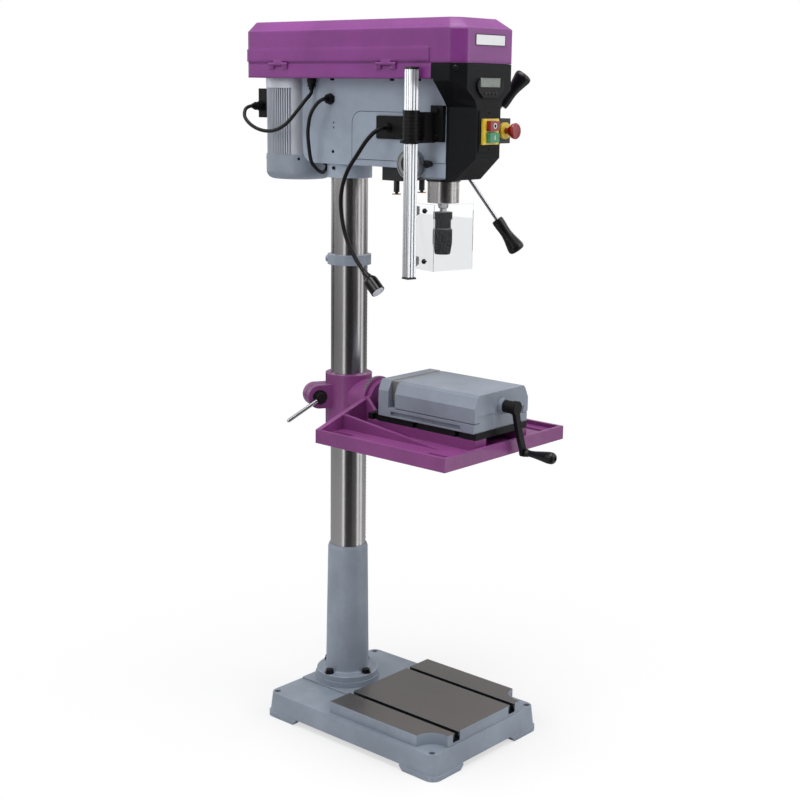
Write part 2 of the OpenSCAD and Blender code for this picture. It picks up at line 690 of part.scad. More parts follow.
module spring_cap() color("#333333") translate([0, feed_y, feed_axis_z]) difference() {
    union() {
        rod_x(-head_w / 2 - 21, -head_w / 2 - 1.5, 35);
        for (a = [0:30:330]) rotate([a, 0, 0]) translate([0, 0, 34]) rod_x(-head_w / 2 - 19, -head_w / 2 - 12, 2);
    }
    rod_x(-head_w / 2 - 18, -head_w / 2 - 14, 31);
    rod_x(-head_w / 2 - 22, -head_w / 2 - 17, 12);
    rod_x(-head_w / 2 - 15, -head_w / 2, feed_shaft_r + run_gap);
}
module quill_lock() color("#222222") translate([0, quill_lock_y, feed_axis_z + 2]) {
    rod_x(-head_w / 2 - 12, -39, 5);
    at_x(-head_w / 2 - 12) mirror([0, 0, 1]) rotate_extrude() polygon(concat(
        [[0, -9], [7, -9], [7, 0], [9.5, 2]], arc(0, 7, 9.5, 0, 90, 5)
    ));
}

// Level outlines of the cover: front corners cut off, both sides alike
function cover_plan(side, corner, yc, yf, yb) =
    [[-side, yb], [-side, yc], [-corner, yf], [corner, yf], [side, yc], [side, yb]];
module cover_slice(z, h, side, corner, yc, yb, yf = -front_y) {
    translate([0, 0, z]) linear_extrude(h) polygon(cover_plan(side, corner, yc, yf, yb));
}
// Half width of the housing's front face beside the switch, and where its slanted sides start
nose_half = 44;
nose_bend = head_front - 8;
function housing_side(y) =
    head_w / 2 - (head_w / 2 - nose_half) * (nose_bend - y) / (nose_bend + front_y);
housing_top = pan_top - 1;
module front_housing() color("#2a2a2c") difference() {
    union() {
        cover_slice(head_top, housing_top - head_top, cover_w / 2, 80, -214, cover_front - 0.5);
        cover_slice(head_top - 3, 3, cover_w / 2, 80, -214, head_front);
        hull() {
            cover_slice(head_top - 4, 1, cover_w / 2, 80, -214, head_front);
            cover_slice(head_top - 23, 1, cover_w / 2 - 18, 80, -214, head_front);
        }
        hull() {
            cover_slice(head_top - 23, 1, cover_w / 2 - 18, 80, -214, head_front);
            cover_slice(head_top - 46, 1, cover_w / 2 - 38, 51, -198, head_front);
        }
        hull() {
            cover_slice(head_top - 46, 1, cover_w / 2 - 38, 51, -198, head_front);
            cover_slice(head_top - 62, 1, head_w / 2, nose_half, nose_bend, head_front);
        }
        cover_slice(head_z + 29, head_h - 90, head_w / 2, nose_half, nose_bend, head_front);
        hull() {
            cover_slice(head_z + 29, 1, head_w / 2, nose_half, nose_bend, head_front);
            translate([0, 0, head_z - 23]) linear_extrude(1)
                polygon(cover_plan(head_w / 2, nose_half, nose_bend, -182, head_front));
        }
        plate_y(-front_y - 2, -front_y + past) {
            translate([0, head_z + 89.5]) square([72, 93], center = true);
        }
    }
    translate([0, spindle_y, head_z - 30]) cylinder(r = head_barrel_r + 1, h = 100);
    block(-cover_w / 2 + 5, cover_w / 2 - 5, -208, cover_front + 2, pan_top - 18, pan_top + past);
    for (z = [head_z + 49, head_z + 130]) translate([0, 0, z]) rod_y(-front_y - 3, -front_y, 2.2);
}
module display_bezel() color("#222222") difference() {
    plate_y(-front_y - 5, -front_y) polygon(concat(
        arc(28, head_top - 16, 20, 0, 90, 4), arc(-28, head_top - 16, 20, 90, 180, 4),
        [[-42, head_top - 28], [-26, head_top - 41], [26, head_top - 41], [42, head_top - 28]]
    ));
    plate_y(-front_y - 6, -front_y - 3) translate([0, head_top - 7]) square([74, 21], center = true);
    for (i = [-1.5:1:1.5]) translate([i * 13, 0, head_top - 31]) rod_y(-front_y - 6, -front_y - 4, 4);
}
switch_z = head_z + 89;
module switch_frame() color("gold") difference() {
    plate_y(-front_y - 9, -front_y - 2) translate([0, switch_z]) square([56, 58], center = true);
    for (z = [-13, 13]) plate_y(-front_y - 10, -front_y - 1) translate([0, switch_z + z])
        square([34.6, 22.6], center = true);
}
module push_key(z) {
    plate_y(-front_y - 20, -front_y - 6) translate([0, z]) square([34, 22], center = true);
}
module start_button() color("green") push_key(switch_z - 13);
module stop_button() color("red") push_key(switch_z + 13);
estop_x = 68;
module estop_box() color("#222222") {
    difference() {
        translate([0, 0, head_z + 61]) linear_extrude(57)
            polygon([
                [housing_side(-195) + pass_gap, -195], [housing_side(-232) + pass_gap, -232],
                [estop_x + 26, -232], [estop_x + 26, -195]
            ]);
        translate([estop_x, 0, switch_z + 1]) rod_y(-245, -210, 7 + run_gap);
    }
    color("gold") translate([estop_x, 0, switch_z + 1]) difference() {
        rod_y(-240, -232, 19);
        rod_y(-241, -231, 7 + run_gap);
    }
}
module estop_button() color("crimson") translate([estop_x, 0, switch_z + 1]) {
    rod_y(-262, -215, 7);
    translate([0, -252, 0]) rotate([90, 0, 0]) rotate_extrude() polygon(concat(
        [[0, 0], [11, 0], [12, 6], [17, 9]], arc(14.5, 15, 4, -40, 90, 5), [[0, 20]]
    ));
}

module belt_pan() color("purple") difference() {
    block(-cover_w / 2, cover_w / 2, cover_front, cover_back, head_top, pan_top);
    block(-cover_w / 2 + sheet_t, cover_w / 2 - sheet_t, cover_front + sheet_t, cover_back - sheet_t,
        head_top + sheet_t, pan_top + past);
    translate([0, spindle_y, head_top - past]) cylinder(r = 22, h = 10);
    translate([0, motor_y, head_top - past]) cylinder(r = 20, h = 10);
    translate([-72, 255, head_top - past]) cylinder(r = lead_r + 1, h = 10);
    both_x() for (y = [-108, -26, 167]) translate([90, y, head_top - past]) cylinder(r = 3, h = 10);
    block(-60, 60, cover_front - past, cover_front + 6, pan_top - 15, pan_top + past);
    for (y = [hinge_a, hinge_b]) hinge_gap(y);
}
hinge_a = 330;
hinge_b = -26;
hinge_x = -cover_w / 2 - 2;
hinge_z = pan_top - 2;
hinge_l = 62;
module hinge_gap(y) {
    translate([hinge_x, y, hinge_z]) rod_y(-hinge_l / 2 - 0.5, hinge_l / 2 + 0.5, 4.6);
}
module hinge_pins() color("gray") for (y = [hinge_a, hinge_b]) translate([hinge_x, y, hinge_z]) {
    rod_y(-hinge_l / 2, hinge_l / 2, 1.6);
    for (s = [-1, 1]) translate([0, s * (hinge_l / 2 - 8), 0]) {
        rod_y(-8, 8, 4);
        block(-1.2, 2, -8, 8, -12, -2);
    }
}
// Lid pressed from sheet: straight walls, then a slope up to the smaller flat top
module lid_form(inset, z0, top) {
    side = cover_w / 2 - inset;
    hull() {
        cover_slice(z0, lid_top - 24 - z0, side, 80 - inset, -214 + inset / 2, cover_back - inset, -front_y + inset);
        cover_slice(top - 1, 1, side - 28, 62 - inset, -190, cover_back - inset - 2, -front_y + 34);
    }
}
module belt_lid() color("purple") {
    difference() {
        union() {
            lid_form(0, pan_top, lid_top);
            difference() {
                block(-cover_w / 2 - 2, cover_w / 2 + 2, -155, cover_back + 2, pan_top + 4, pan_top + 34);
                block(-cover_w / 2 + 1, cover_w / 2 - 1, -156, cover_back - 1, pan_top, pan_top + 40);
            }
        }
        lid_form(sheet_t, pan_top - past, lid_top - sheet_t);
        for (y = [hinge_a, hinge_b]) hinge_gap(y);
    }
    for (y = [hinge_a, hinge_b]) translate([hinge_x, y, hinge_z]) difference() {
        union() {
            rod_y(-15, 15, 4);
            block(-2, 2.5, -15, 15, 0, 8);
        }
        rod_y(-16, 16, 1.6 + run_gap);
    }
}

rib_groups = 4;
ribs_in_group = 13;
rib_step = 4.6;
motor_z1 = head_top - 24;
motor_z0 = motor_z1 - motor_l;
module motor_body() color("silver") translate([0, motor_y, 0]) {
    translate([0, 0, motor_z0]) linear_extrude(motor_l) union() {
        circle(r = motor_r - 2 - rib_d);
        for (g = [0:rib_groups - 1], i = [0:ribs_in_group - 1])
            rotate(g * 360 / rib_groups + (i - (ribs_in_group - 1) / 2) * rib_step)
                translate([motor_r - 4 - rib_d, -1.1]) square([rib_d + 2, 2.2]);
        for (g = [0:rib_groups - 1]) rotate((g + 0.5) * 360 / rib_groups) intersection() {
            circle(r = motor_r - 2);
            polygon([[0, 0], [90, -19], [90, 19]]);
        }
    }
    translate([0, 0, motor_z1]) cylinder(r = motor_r, h = 24);
}
module motor_bell() color("lightslategray") difference() {
    translate([0, motor_y, motor_z0]) mirror([0, 0, 1]) rotate_extrude() polygon(concat(
        [[0, 0], [motor_r, 0], [motor_r, 40]], arc(motor_r - 20, 42, 20, 0, 90, 8), [[0, 62]]
    ));
    translate([0, motor_y, motor_z0 - 10]) for (a = [45:90:315]) rotate([0, 0, a]) rod_x(motor_r - 6, motor_r + 2, 3.5);
}
module terminal_box() color("#222222") {
    translate([0, motor_y, 0]) difference() {
        block(-35, 35, 70, 112, head_top - 99, head_top - 26);
        cylinder(r = motor_r - 2 + 0.1, h = 2000);
        difference() {
            block(-36, 36, 103, 104.5, head_top - 100, head_top - 25);
            block(-34, 34, 102, 105, head_top - 98, head_top - 27);
        }
    }
}
module gland(r, l) {
    difference() {
        union() {
            cylinder(r = r, h = l * 0.4, $fn = 6);
            cylinder(r = r * 0.85, h = l * 0.75);
            cylinder(r = lead_r + 2.5, h = l);
        }
        translate([0, 0, l - 5]) cylinder(r = lead_r + 0.8, h = 6);
    }
}
module cable_glands() color("#222222") {
    translate([-35, 472, 1565]) rotate([0, -90, 0]) gland(12, 31);
    translate([-head_w / 2, 199, 1586]) rotate([0, -90, 0]) gland(13.5, 18);
    translate([-72, 255, head_top]) mirror([0, 0, 1]) gland(11.5, 28);
    translate([-10, 262, head_z]) mirror([0, 0, 1]) difference() {
        cylinder(r = lead_r + 5, h = 6);
        translate([0, 0, -past]) cylinder(r = lead_r + 0.5, h = 10);
    }
}
module motor_cable() color("#222222") tube_along(smooth(motor_route), lead_r);
module switch_cable() color("#222222") tube_along(smooth(switch_route), lead_r);

// Stepped pulleys: pitch radii from the lowest groove up
motor_steps = [30, 40, 50, 60];
idler_steps = [62, 52, 42, 32];
spindle_steps = [36, 46, 56, 66];
step_h = 22;
pulley_z = pan_top - 20;
drive_level = 0;
spindle_level = 2;
module stepped_pulley(steps, bore) {
    rotate_extrude() polygon(concat(
        [[bore, 0]],
        [for (i = [0:len(steps) - 1]) let (r = steps[i], z = i * step_h, c = z + step_h / 2, w = belt_h / 2 + 0.6)
            each [
                [r + 4, z], [r + 4, c - w], [r - 6, c - w + 2], [r - 6, c + w - 2], [r + 4, c + w],
                [r + 4, z + step_h]
            ]],
        [[bore, len(steps) * step_h]]
    ));
}
module spindle_pulley() color("silver") {
    translate([0, spindle_y, pulley_z]) stepped_pulley(spindle_steps, drive_r + run_gap);
    translate([0, spindle_y, quill_top + 8]) difference() {
        cylinder(r = drive_r + 8, h = pulley_z - quill_top - 7);
        translate([0, 0, -past]) cylinder(r = drive_r + run_gap, h = 80);
    }
}
module idler_pulley() color("silver") translate([0, idler_y, pulley_z]) stepped_pulley(idler_steps, 10 + run_gap);
module idler_arm() color("gray") {
    translate([0, idler_y, head_top + sheet_t]) {
        cylinder(r = 10, h = pulley_z - head_top - sheet_t + 4 * step_h + 2);
        cylinder(r = 16, h = pulley_z - head_top - sheet_t - 1);
        hull() {
            cylinder(r = 18, h = 8);
            translate([60, -50, 0]) cylinder(r = 14, h = 8);
        }
    }
}
module motor_pulley() color("silver") {
    translate([0, motor_y, pulley_z]) stepped_pulley(motor_steps, 0);
    translate([0, motor_y, head_top + 0.5]) cylinder(r = 9.5, h = pulley_z - head_top);
}
// Outline of a belt around two pulleys: two circles and the tangent strip between them
module belt_outline(r1, r2, d) {
    a = acos((r1 - r2) / d);
    circle(r = r1);
    translate([0, d]) circle(r = r2);
    polygon([
        [-r1 * sin(a), r1 * cos(a)], [-r2 * sin(a), d + r2 * cos(a)],
        [r2 * sin(a), d + r2 * cos(a)], [r1 * sin(a), r1 * cos(a)]
    ]);
}
module v_belt(y1, y2, r1, r2, level) {
    translate([0, y1, pulley_z + level * step_h + step_h / 2]) {
        belt_ring(r1 + 3, r1 - 1, r2 + 3, r2 - 1, y2 - y1, belt_h - 1);
        belt_ring(r1 - 0.9, r1 - 5, r2 - 0.9, r2 - 5, y2 - y1, belt_h - 5);
    }
}
module belt_ring(o1, i1, o2, i2, d, h) {
    translate([0, 0, -h / 2]) linear_extrude(h) difference() {
        belt_outline(o1, o2, d);
        belt_outline(i1, i2, d);
    }
}
module drive_belt() color("#222222")
    v_belt(idler_y, motor_y, idler_steps[drive_level], motor_steps[drive_level], drive_level);
module spindle_belt() color("#222222")
    v_belt(spindle_y, idler_y, spindle_steps[spindle_level], idler_steps[spindle_level], spindle_level);

module quill() color("silver") translate([0, spindle_y, 0]) difference() {
    translate([0, 0, quill_z0]) cylinder(r = quill_r, h = quill_top - quill_z0, $fn = 128);
    translate([0, 0, quill_z0 - past]) cylinder(r = bearing_r, h = 22 + past);
    translate([0, 0, quill_top - 22]) cylinder(r = bearing_r, h = 22 + past);
    translate([0, 0, quill_z0]) cylinder(r = spindle_r + 4, h = quill_top - quill_z0);
    block(-24, 24, feed_rack_at + 0.8 * feed_m, quill_r + past, head_z - 16, quill_top - 12);
    pitch = PI * feed_m;
    above = floor((quill_top - 16 - feed_axis_z) / pitch);
    for (k = [-4:above]) translate([0, feed_rack_at, feed_axis_z + k * pitch])
        plate_x(-24, 24) rack_gap(feed_m);
}
module quill_bearings() color("gray") for (z = [quill_z0 + 2, quill_top - 22]) translate([0, spindle_y, z]) {
    difference() {
        cylinder(r = bearing_r, h = 17);
        translate([0, 0, -past]) cylinder(r = spindle_r + run_gap, h = 20);
        translate([0, 0, 14]) difference() {
            cylinder(r = bearing_r - 3, h = 5);
            translate([0, 0, -past]) cylinder(r = spindle_r + 4, h = 7);
        }
    }
}
chuck_z = quill_z0 - 22;
module spindle() color("silver") translate([0, spindle_y, 0]) rotate_extrude() polygon([
    [0, chuck_z - 30], [7.2, chuck_z - 30], [8, chuck_z], [8, chuck_z + 8], [11, chuck_z + 9],
    [12.4, quill_z0 - 6], [spindle_r, quill_z0 - 2], [spindle_r, quill_top + 4],
    [drive_r, quill_top + 5], [drive_r, pulley_z + 4 * step_h + 3], [0, pulley_z + 4 * step_h + 3]
]);
module chuck_body() color("#333333") translate([0, spindle_y, 0]) difference() {
    union() {
        translate([0, 0, chuck_z - 39]) cylinder(r = 19, h = 39);
        translate([0, 0, chuck_z - 17]) cylinder(r = chuck_r - 0.5, h = 17);
        for (a = [0, 180]) rotate([0, 0, a]) block(12, chuck_r + 3, -7, 7, chuck_z - 14, chuck_z - 2);
        translate([0, 0, chuck_z - 96]) cylinder(r = 13.5, h = 60);
    }
    translate([0, 0, chuck_z - 31]) cylinder(r1 = 7.25, r2 = 8.1, h = 32);
    translate([0, 0, chuck_z - 97]) cylinder(r = 5, h = 50);
    for (a = [0:120:240]) rotate([0, 0, a]) block(3, 9, -3, 3, chuck_z - 97, chuck_z - 93);
}
module chuck_sleeve() color("#222222") translate([0, spindle_y, chuck_z - 99.4]) difference() {
    rotate_extrude() polygon(concat(
        [[14, 0], [17.5, 0], [19, 3], [chuck_r - 1, 20]], [[chuck_r, 26], [chuck_r, 57], [chuck_r - 1, 59.4]],
        [[13.5 + run_gap, 59.4], [13.5 + run_gap, 3]]
    ));
    for (a = [0:18:342]) rotate([0, 0, a]) translate([chuck_r + 0.6, 0, 28]) cylinder(r = 1.6, h = 24);
}

feed_hub_x = 103.5;
module feed_shaft() color("#333333") difference() {
    translate([0, feed_y, feed_axis_z]) {
        rod_x(-head_w / 2 - 14, -21, feed_shaft_r);
        plate_x(-21, 21) rotate(180) gear_2d(feed_m, feed_teeth);
        rod_x(21, head_w / 2 + 8, feed_shaft_r);
        at_x(0) rotate_extrude() polygon([
            [0, head_w / 2 + 7], [26, head_w / 2 + 7], [28, head_w / 2 + 9], [28, feed_hub_x - 22],
            [22, feed_hub_x - 16], [22, feed_hub_x + 10], [18, feed_hub_x + 17], [0, feed_hub_x + 19]
        ]);
    }
    at_spokes() rod_y(12, 60, spoke_r + run_gap);
}
spoke_turns = [240.8, 120.8, 0.8];
module at_spokes() {
    translate([feed_hub_x, feed_y, feed_axis_z]) for (a = spoke_turns)
        rotate([a, 0, 0]) rotate([0, 0, -spoke_lean]) children();
}
module feed_spokes() color("silver") at_spokes() rod_y(12.2, spoke_l - 40, spoke_r);
module feed_grips() color("#222222") at_spokes() translate([0, spoke_l - 85, 0]) rotate([-90, 0, 0])
    rotate_extrude() polygon(concat(
        [[spoke_r + run_gap, 0], [9, 0], [11, 2], [11, 16], [9.5, 24], [11, 40], [15, 62], [17.5, 76]],
        arc(13.5, 79, 4, 10, 85, 4),
        [[0, 84], [0, 46], [spoke_r + run_gap, 46]]
    ));

module guard_mount() color("#222222") difference() {
    union() {
        block(-72, -61.5, -166, -129, head_z + 64, head_z + 146);
        block(guard_x + 24, -71, -142, -112, head_z + 72, head_z + 131);
        hull() {
            translate([guard_x, guard_y, head_z + 62]) cylinder(r = 25, h = 5.5, $fn = 32);
            block(guard_x + 24, -71, -142, -112, head_z + 62, head_z + 67.5);
        }
        block(guard_x + 20, -71, -142, -112, head_z + 62, head_z + 73);
        for (z = [76, 134]) translate([0, -148, head_z + z]) rod_x(-77, -71, 6);
    }
    translate([guard_x, guard_y, head_z + 50]) cylinder(r = 17 + run_gap, h = 30);
    translate([guard_x, guard_y, head_z + 67.4]) cylinder(r = 20, h = 80);
}
module guard_sleeve() color("#222222") translate([guard_x, guard_y, 0]) difference() {
    union() {
        translate([0, 0, sleeve_z0]) cylinder(r = 19.5, h = sleeve_z1 - sleeve_z0);
        translate([0, 0, head_z + 60]) cylinder(r = 17, h = 20);
    }
    for (z = [sleeve_z0 + 8:8:sleeve_z1 - 8]) translate([0, 0, z]) difference() {
        cylinder(r = 21, h = 2.5);
        translate([0, 0, -past]) cylinder(r = 18.3, h = 5);
    }
    rotate([0, 0, guard_turn]) block(-rail_w / 2 - run_gap, rail_w / 2 + run_gap, -rail_w / 2 - run_gap,
        rail_w / 2 + run_gap, head_z + 50, sleeve_z1 + past);
}
module at_guard() { translate([guard_x, guard_y, 0]) rotate([0, 0, guard_turn]) children(); }
// The shield has a flange that is screwed to two slanting brackets on the rail
flange_x = 65;
flange_back = 68;
pane_l = 115;
pane_y = -1.6;
pane_z = rail_z0 + 13;
knob_y = 30;
screw_y = 61;
screw_up = [34, 152];
module guard_rail() color("silver") at_guard() {
    h = rail_w / 2;
    difference() {
        block(-h, h, -h, h, rail_z0 + 3, rail_z0 + rail_l - 3);
        for (s = [-1, 1]) {
            block(s * 4 - 1.2, s * 4 + 1.2, -h - past, -h + 1.6, rail_z0, rail_z0 + rail_l);
            block(-h - past, -h + 1.6, s * 4 - 1.2, s * 4 + 1.2, rail_z0, rail_z0 + rail_l);
        }
    }
    color("#222222") for (z = [rail_z0, rail_z0 + rail_l - 3])
        block(-h - 0.8, h + 0.8, -h - 0.8, h + 0.8, z, z + 3);
    color("#222222") for (z = screw_up) translate([0, 0, rail_z0 + z]) {
        difference() {
            translate([0, 0, -9]) linear_extrude(18) polygon([
                [h + seat_gap, -3], [flange_x, 53], [flange_x, 67],
                [flange_x - 4, 67], [flange_x - 4, 56], [h + seat_gap, 5]
            ]);
            translate([0, screw_y, 0]) rod_x(50, 70, 2.2);
        }
        translate([0, screw_y, 0]) {
            rod_x(flange_x - 6, flange_x + shield_t + 3, 2);
            rod_x(flange_x - 6.5, flange_x - 4, 4.5);
        }
        translate([flange_x, knob_y, 0]) rotate([0, -90, 0]) rotate_extrude() polygon(concat(
            [[0, -6], [2, -6], [2, 0], [6, 0]], arc(1.5, 2.5, 4.5, 0, 90, 4), [[0, 7]]
        ));
    }
}
module guard_shield() color("lightcyan", 0.4) at_guard() difference() {
    union() {
        block(flange_x, flange_x + shield_t, pane_y, flange_back, pane_z, pane_z + shield_h);
        block(flange_x, flange_x + pane_l, pane_y - shield_t, pane_y, pane_z, pane_z + shield_h);
    }
    for (z = screw_up, y = [knob_y, screw_y]) translate([0, y, rail_z0 + z]) rod_x(50, 90, 2.2);
}

module lamp_arm() color("#222222") {
    block(-66, -61.5, -38, 45, head_z + 66, head_z + 120);
    translate([-66, 4, head_z + 93]) rotate([0, -90, 0]) cylinder(r1 = 11, r2 = 7, h = 12);
    tube_along(lamp_route, neck_r, 10);
}
lamp_tip = lamp_route[len(lamp_route) - 1];
lamp_turn = 133;
module lamp_head() color("#222222") translate(lamp_tip) rotate([lamp_turn, 0, 0])
    rotate_extrude() polygon(concat(
        [[0, 0.5], [6.5, 0.5], [8, 8]], arc(1.5, 32, 16, -50, 0, 5), [[17.5, 62], [0, 62]]
    ));
module laser_unit() color("#222222") {
    block(-50, 50, -25, 38, head_z - 32, head_z - pass_gap);
    for (x = [-46, 46]) translate([x, -5, 0]) {
        translate([0, 0, head_z - 58]) cylinder(r = 7, h = 27);
        translate([0, 0, head_z - 62]) cylinder(r = 4, h = 5);
        color("peru") translate([0, 0, head_z - 64]) cylinder(r = 10.5, h = 2);
    }
}

base();
column_foot();
foot_bolts();
column();
rack_collar();
lock_screws();
head();
spring_cap();
front_housing();
display_bezel();
switch_frame();
estop_box();
belt_pan();
hinge_pins();
motor_body();
motor_bell();
terminal_box();
cable_glands();
motor_cable();
switch_cable();
drive_belt();
spindle_belt();
idler_arm();
guard_mount();
lamp_arm();
lamp_head();
laser_unit();
lift_rack();
table_bracket();
table();
tilt_bolt();
vise_plate();
vise_base();
fixed_jaw();
vise_slide();
moving_jaw();
vise_crank();
vise_grip();
lock_lever();
lift_gear();
lift_crank();
feed_shaft();
feed_spokes();
feed_grips();
quill();
quill_bearings();
spindle();
chuck_body();
chuck_sleeve();
spindle_pulley();
idler_pulley();
motor_pulley();
belt_lid();
start_button();
stop_button();
estop_button();
quill_lock();
guard_sleeve();
guard_rail();
guard_shield();
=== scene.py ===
# %% [markdown]
# This script dresses the solid model of a pillar drill: a floor machine with a slotted base, a steel
# column, a tilting table with a vise, and a belt-driven head. The solids arrive already in place, at
# their real size in metres, so the work here is finishes, cords, small trim, light and the camera.

import math

import bmesh
import bpy
from mathutils import Matrix, Vector


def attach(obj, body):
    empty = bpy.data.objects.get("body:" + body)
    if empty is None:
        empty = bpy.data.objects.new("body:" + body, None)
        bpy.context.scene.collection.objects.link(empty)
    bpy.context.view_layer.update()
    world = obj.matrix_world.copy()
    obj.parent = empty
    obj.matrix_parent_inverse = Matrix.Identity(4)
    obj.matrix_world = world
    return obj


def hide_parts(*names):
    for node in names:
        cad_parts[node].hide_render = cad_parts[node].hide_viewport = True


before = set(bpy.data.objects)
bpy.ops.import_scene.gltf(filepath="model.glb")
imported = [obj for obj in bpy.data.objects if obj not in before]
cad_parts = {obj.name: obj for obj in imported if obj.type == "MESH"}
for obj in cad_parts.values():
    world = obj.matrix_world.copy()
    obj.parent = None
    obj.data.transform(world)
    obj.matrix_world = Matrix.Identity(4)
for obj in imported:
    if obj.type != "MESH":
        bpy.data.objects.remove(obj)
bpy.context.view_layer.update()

# %% [markdown]
# The camera stands left of the front, at the height of the head. Its place was fitted to the straight
# edges of the base and the belt cover, so the picture and the model share one perspective. A long
# lens keeps the column almost upright.

# %% Camera
def facing(azimuth, elevation, roll):
    a, e, r = (math.radians(x) for x in (azimuth, elevation, roll))
    forward = Vector((-math.sin(a) * math.cos(e), math.cos(a) * math.cos(e), -math.sin(e)))
    right = forward.cross(Vector((0, 0, 1))).normalized()
    up = right.cross(forward)
    turned_right = right * math.cos(r) + up * math.sin(r)
    turned_up = up * math.cos(r) - right * math.sin(r)
    return Matrix((turned_right, turned_up, -forward)).transposed().to_4x4()


camera = bpy.data.objects.new("camera", bpy.data.cameras.new("camera"))
camera.data.lens = 64.474
camera.data.clip_end = 60
CAMERA_AT = (-2.6175, -2.2896, 1.6088)
camera.matrix_world = Matrix.Translation(CAMERA_AT) @ facing(-48.62, 12.2, 0.72)
bpy.context.scene.collection.objects.link(camera)
bpy.context.scene.camera = camera
bpy.context.scene.view_settings.view_transform = "Standard"
print("camera at", tuple(camera.location))

# %% [markdown]
# Finishes are small networks of nodes. Written as sums and products they are easier to read than as
# lists of links, so a Field wraps one output and turns each operator into a Math node. A Finish holds
# the shader that the fields end in.

# %% Fields and finishes
def srgb(red, green, blue):
    """A colour as a screen shows it, 0 to 255, in the linear values that a shader wants."""
    channels = [c / 255 for c in (red, green, blue)]
    return (*[c / 12.92 if c <= 0.04045 else ((c + 0.055) / 1.055) ** 2.4 for c in channels], 1)


def shaded(colour, by, lift=0.0):
    """The same colour darker or brighter, still in linear values."""
    return (*[c * by + lift for c in colour[:3]], 1)


class Field:
    """A value that varies over a surface."""

    def __init__(self, finish, socket):
        self.finish, self.socket = finish, socket

    def math(self, operation, *values):
        return self.finish.node("ShaderNodeMath", {"operation": operation}, dict(enumerate(values)))

    def __add__(self, other):
        return self.math("ADD", self, other)

    def __sub__(self, other):
        return self.math("SUBTRACT", self, other)

    def __rsub__(self, other):
        return self.math("SUBTRACT", other, self)

    def __mul__(self, other):
        return self.math("MULTIPLY", self, other)

    __radd__, __rmul__ = __add__, __mul__

    def __gt__(self, other):
        return self.math("GREATER_THAN", self, other)

    def __lt__(self, other):
        return self.math("LESS_THAN", self, other)

    def __abs__(self):
        return self.math("ABSOLUTE", self)

    def root(self):
        return self.math("SQRT", self)

    def either(self, other):
        """The larger of two values, which for two masks is where either one is."""
        return self.math("MAXIMUM", self, other)

    def ramp(self, low, high):
        """0 below low, 1 above high, smooth between."""
        return self.finish.node(
            "ShaderNodeMapRange", {"interpolation_type": "SMOOTHSTEP"}, {0: self, 1: low, 2: high}
        )


class Finish:
    """One material. Constants go straight onto the shader's own sockets."""

    def __init__(self, name, **constants):
        self.material = bpy.data.materials.new(name)
        self.material.use_nodes = True
        self.shader = self.material.node_tree.nodes["Principled BSDF"]
        for socket, value in constants.items():
            self.feed(self.shader.inputs[socket.replace("_", " ")], value)

    def feed(self, socket, value):
        if isinstance(value, Field):
            self.material.node_tree.links.new(value.socket, socket)
        else:
            socket.default_value = value

    def node(self, kind, settings=None, inputs=None, output=0):
        made = self.material.node_tree.nodes.new(kind)
        for name, value in (settings or {}).items():
            setattr(made, name, value)
        for name, value in (inputs or {}).items():
            self.feed(made.inputs[name], value)
        return Field(self, made.outputs[output])

    def fed(self, socket):
        """The field that a socket of the shader already has."""
        return Field(self, self.shader.inputs[socket].links[0].from_socket)

    def place(self):
        """The point on the piece at rest, in metres, as three fields after the vector itself."""
        vector = self.node("ShaderNodeTexCoord", output=3)
        return vector, *self.parts(vector)

    def parts(self, vector):
        split = self.node("ShaderNodeSeparateXYZ", {}, {0: vector}).socket.node
        return [Field(self, out) for out in split.outputs]

    def stretched(self, vector, scale):
        return self.node("ShaderNodeVectorMath", {"operation": "MULTIPLY"}, {0: vector, 1: scale})

    def noise(self, vector, scale, detail=2.0, roughness=0.5):
        return self.node("ShaderNodeTexNoise", {}, {
            "Vector": vector, "Scale": scale, "Detail": detail, "Roughness": roughness,
        })

    def mix(self, first, second, share):
        return self.node("ShaderNodeMix", {"data_type": "RGBA"}, {0: share, 6: first, 7: second}, 2)

    def softened(self, radius):
        """The normal that a small round on every edge would give."""
        return self.node("ShaderNodeBevel", {"samples": 6}, {"Radius": radius})

    def edges(self, soft):
        """Near 1 along the edges that softened() has rounded."""
        flat = self.node("ShaderNodeNewGeometry", output=1)
        same = self.node("ShaderNodeVectorMath", {"operation": "DOT_PRODUCT"}, {0: soft, 1: flat}, 1)
        return (1 - same).ramp(0.05, 0.3)

    def bump(self, height, strength, distance, normal):
        return self.node("ShaderNodeBump", {}, {
            "Strength": strength, "Distance": distance, "Height": height, "Normal": normal,
        })

    def wear(self, **varying):
        for socket, value in varying.items():
            self.feed(self.shader.inputs[socket.replace("_", " ")], value)
        return self


print("a mid grey of 128 is", round(srgb(128, 128, 128)[0], 3), "in linear light")
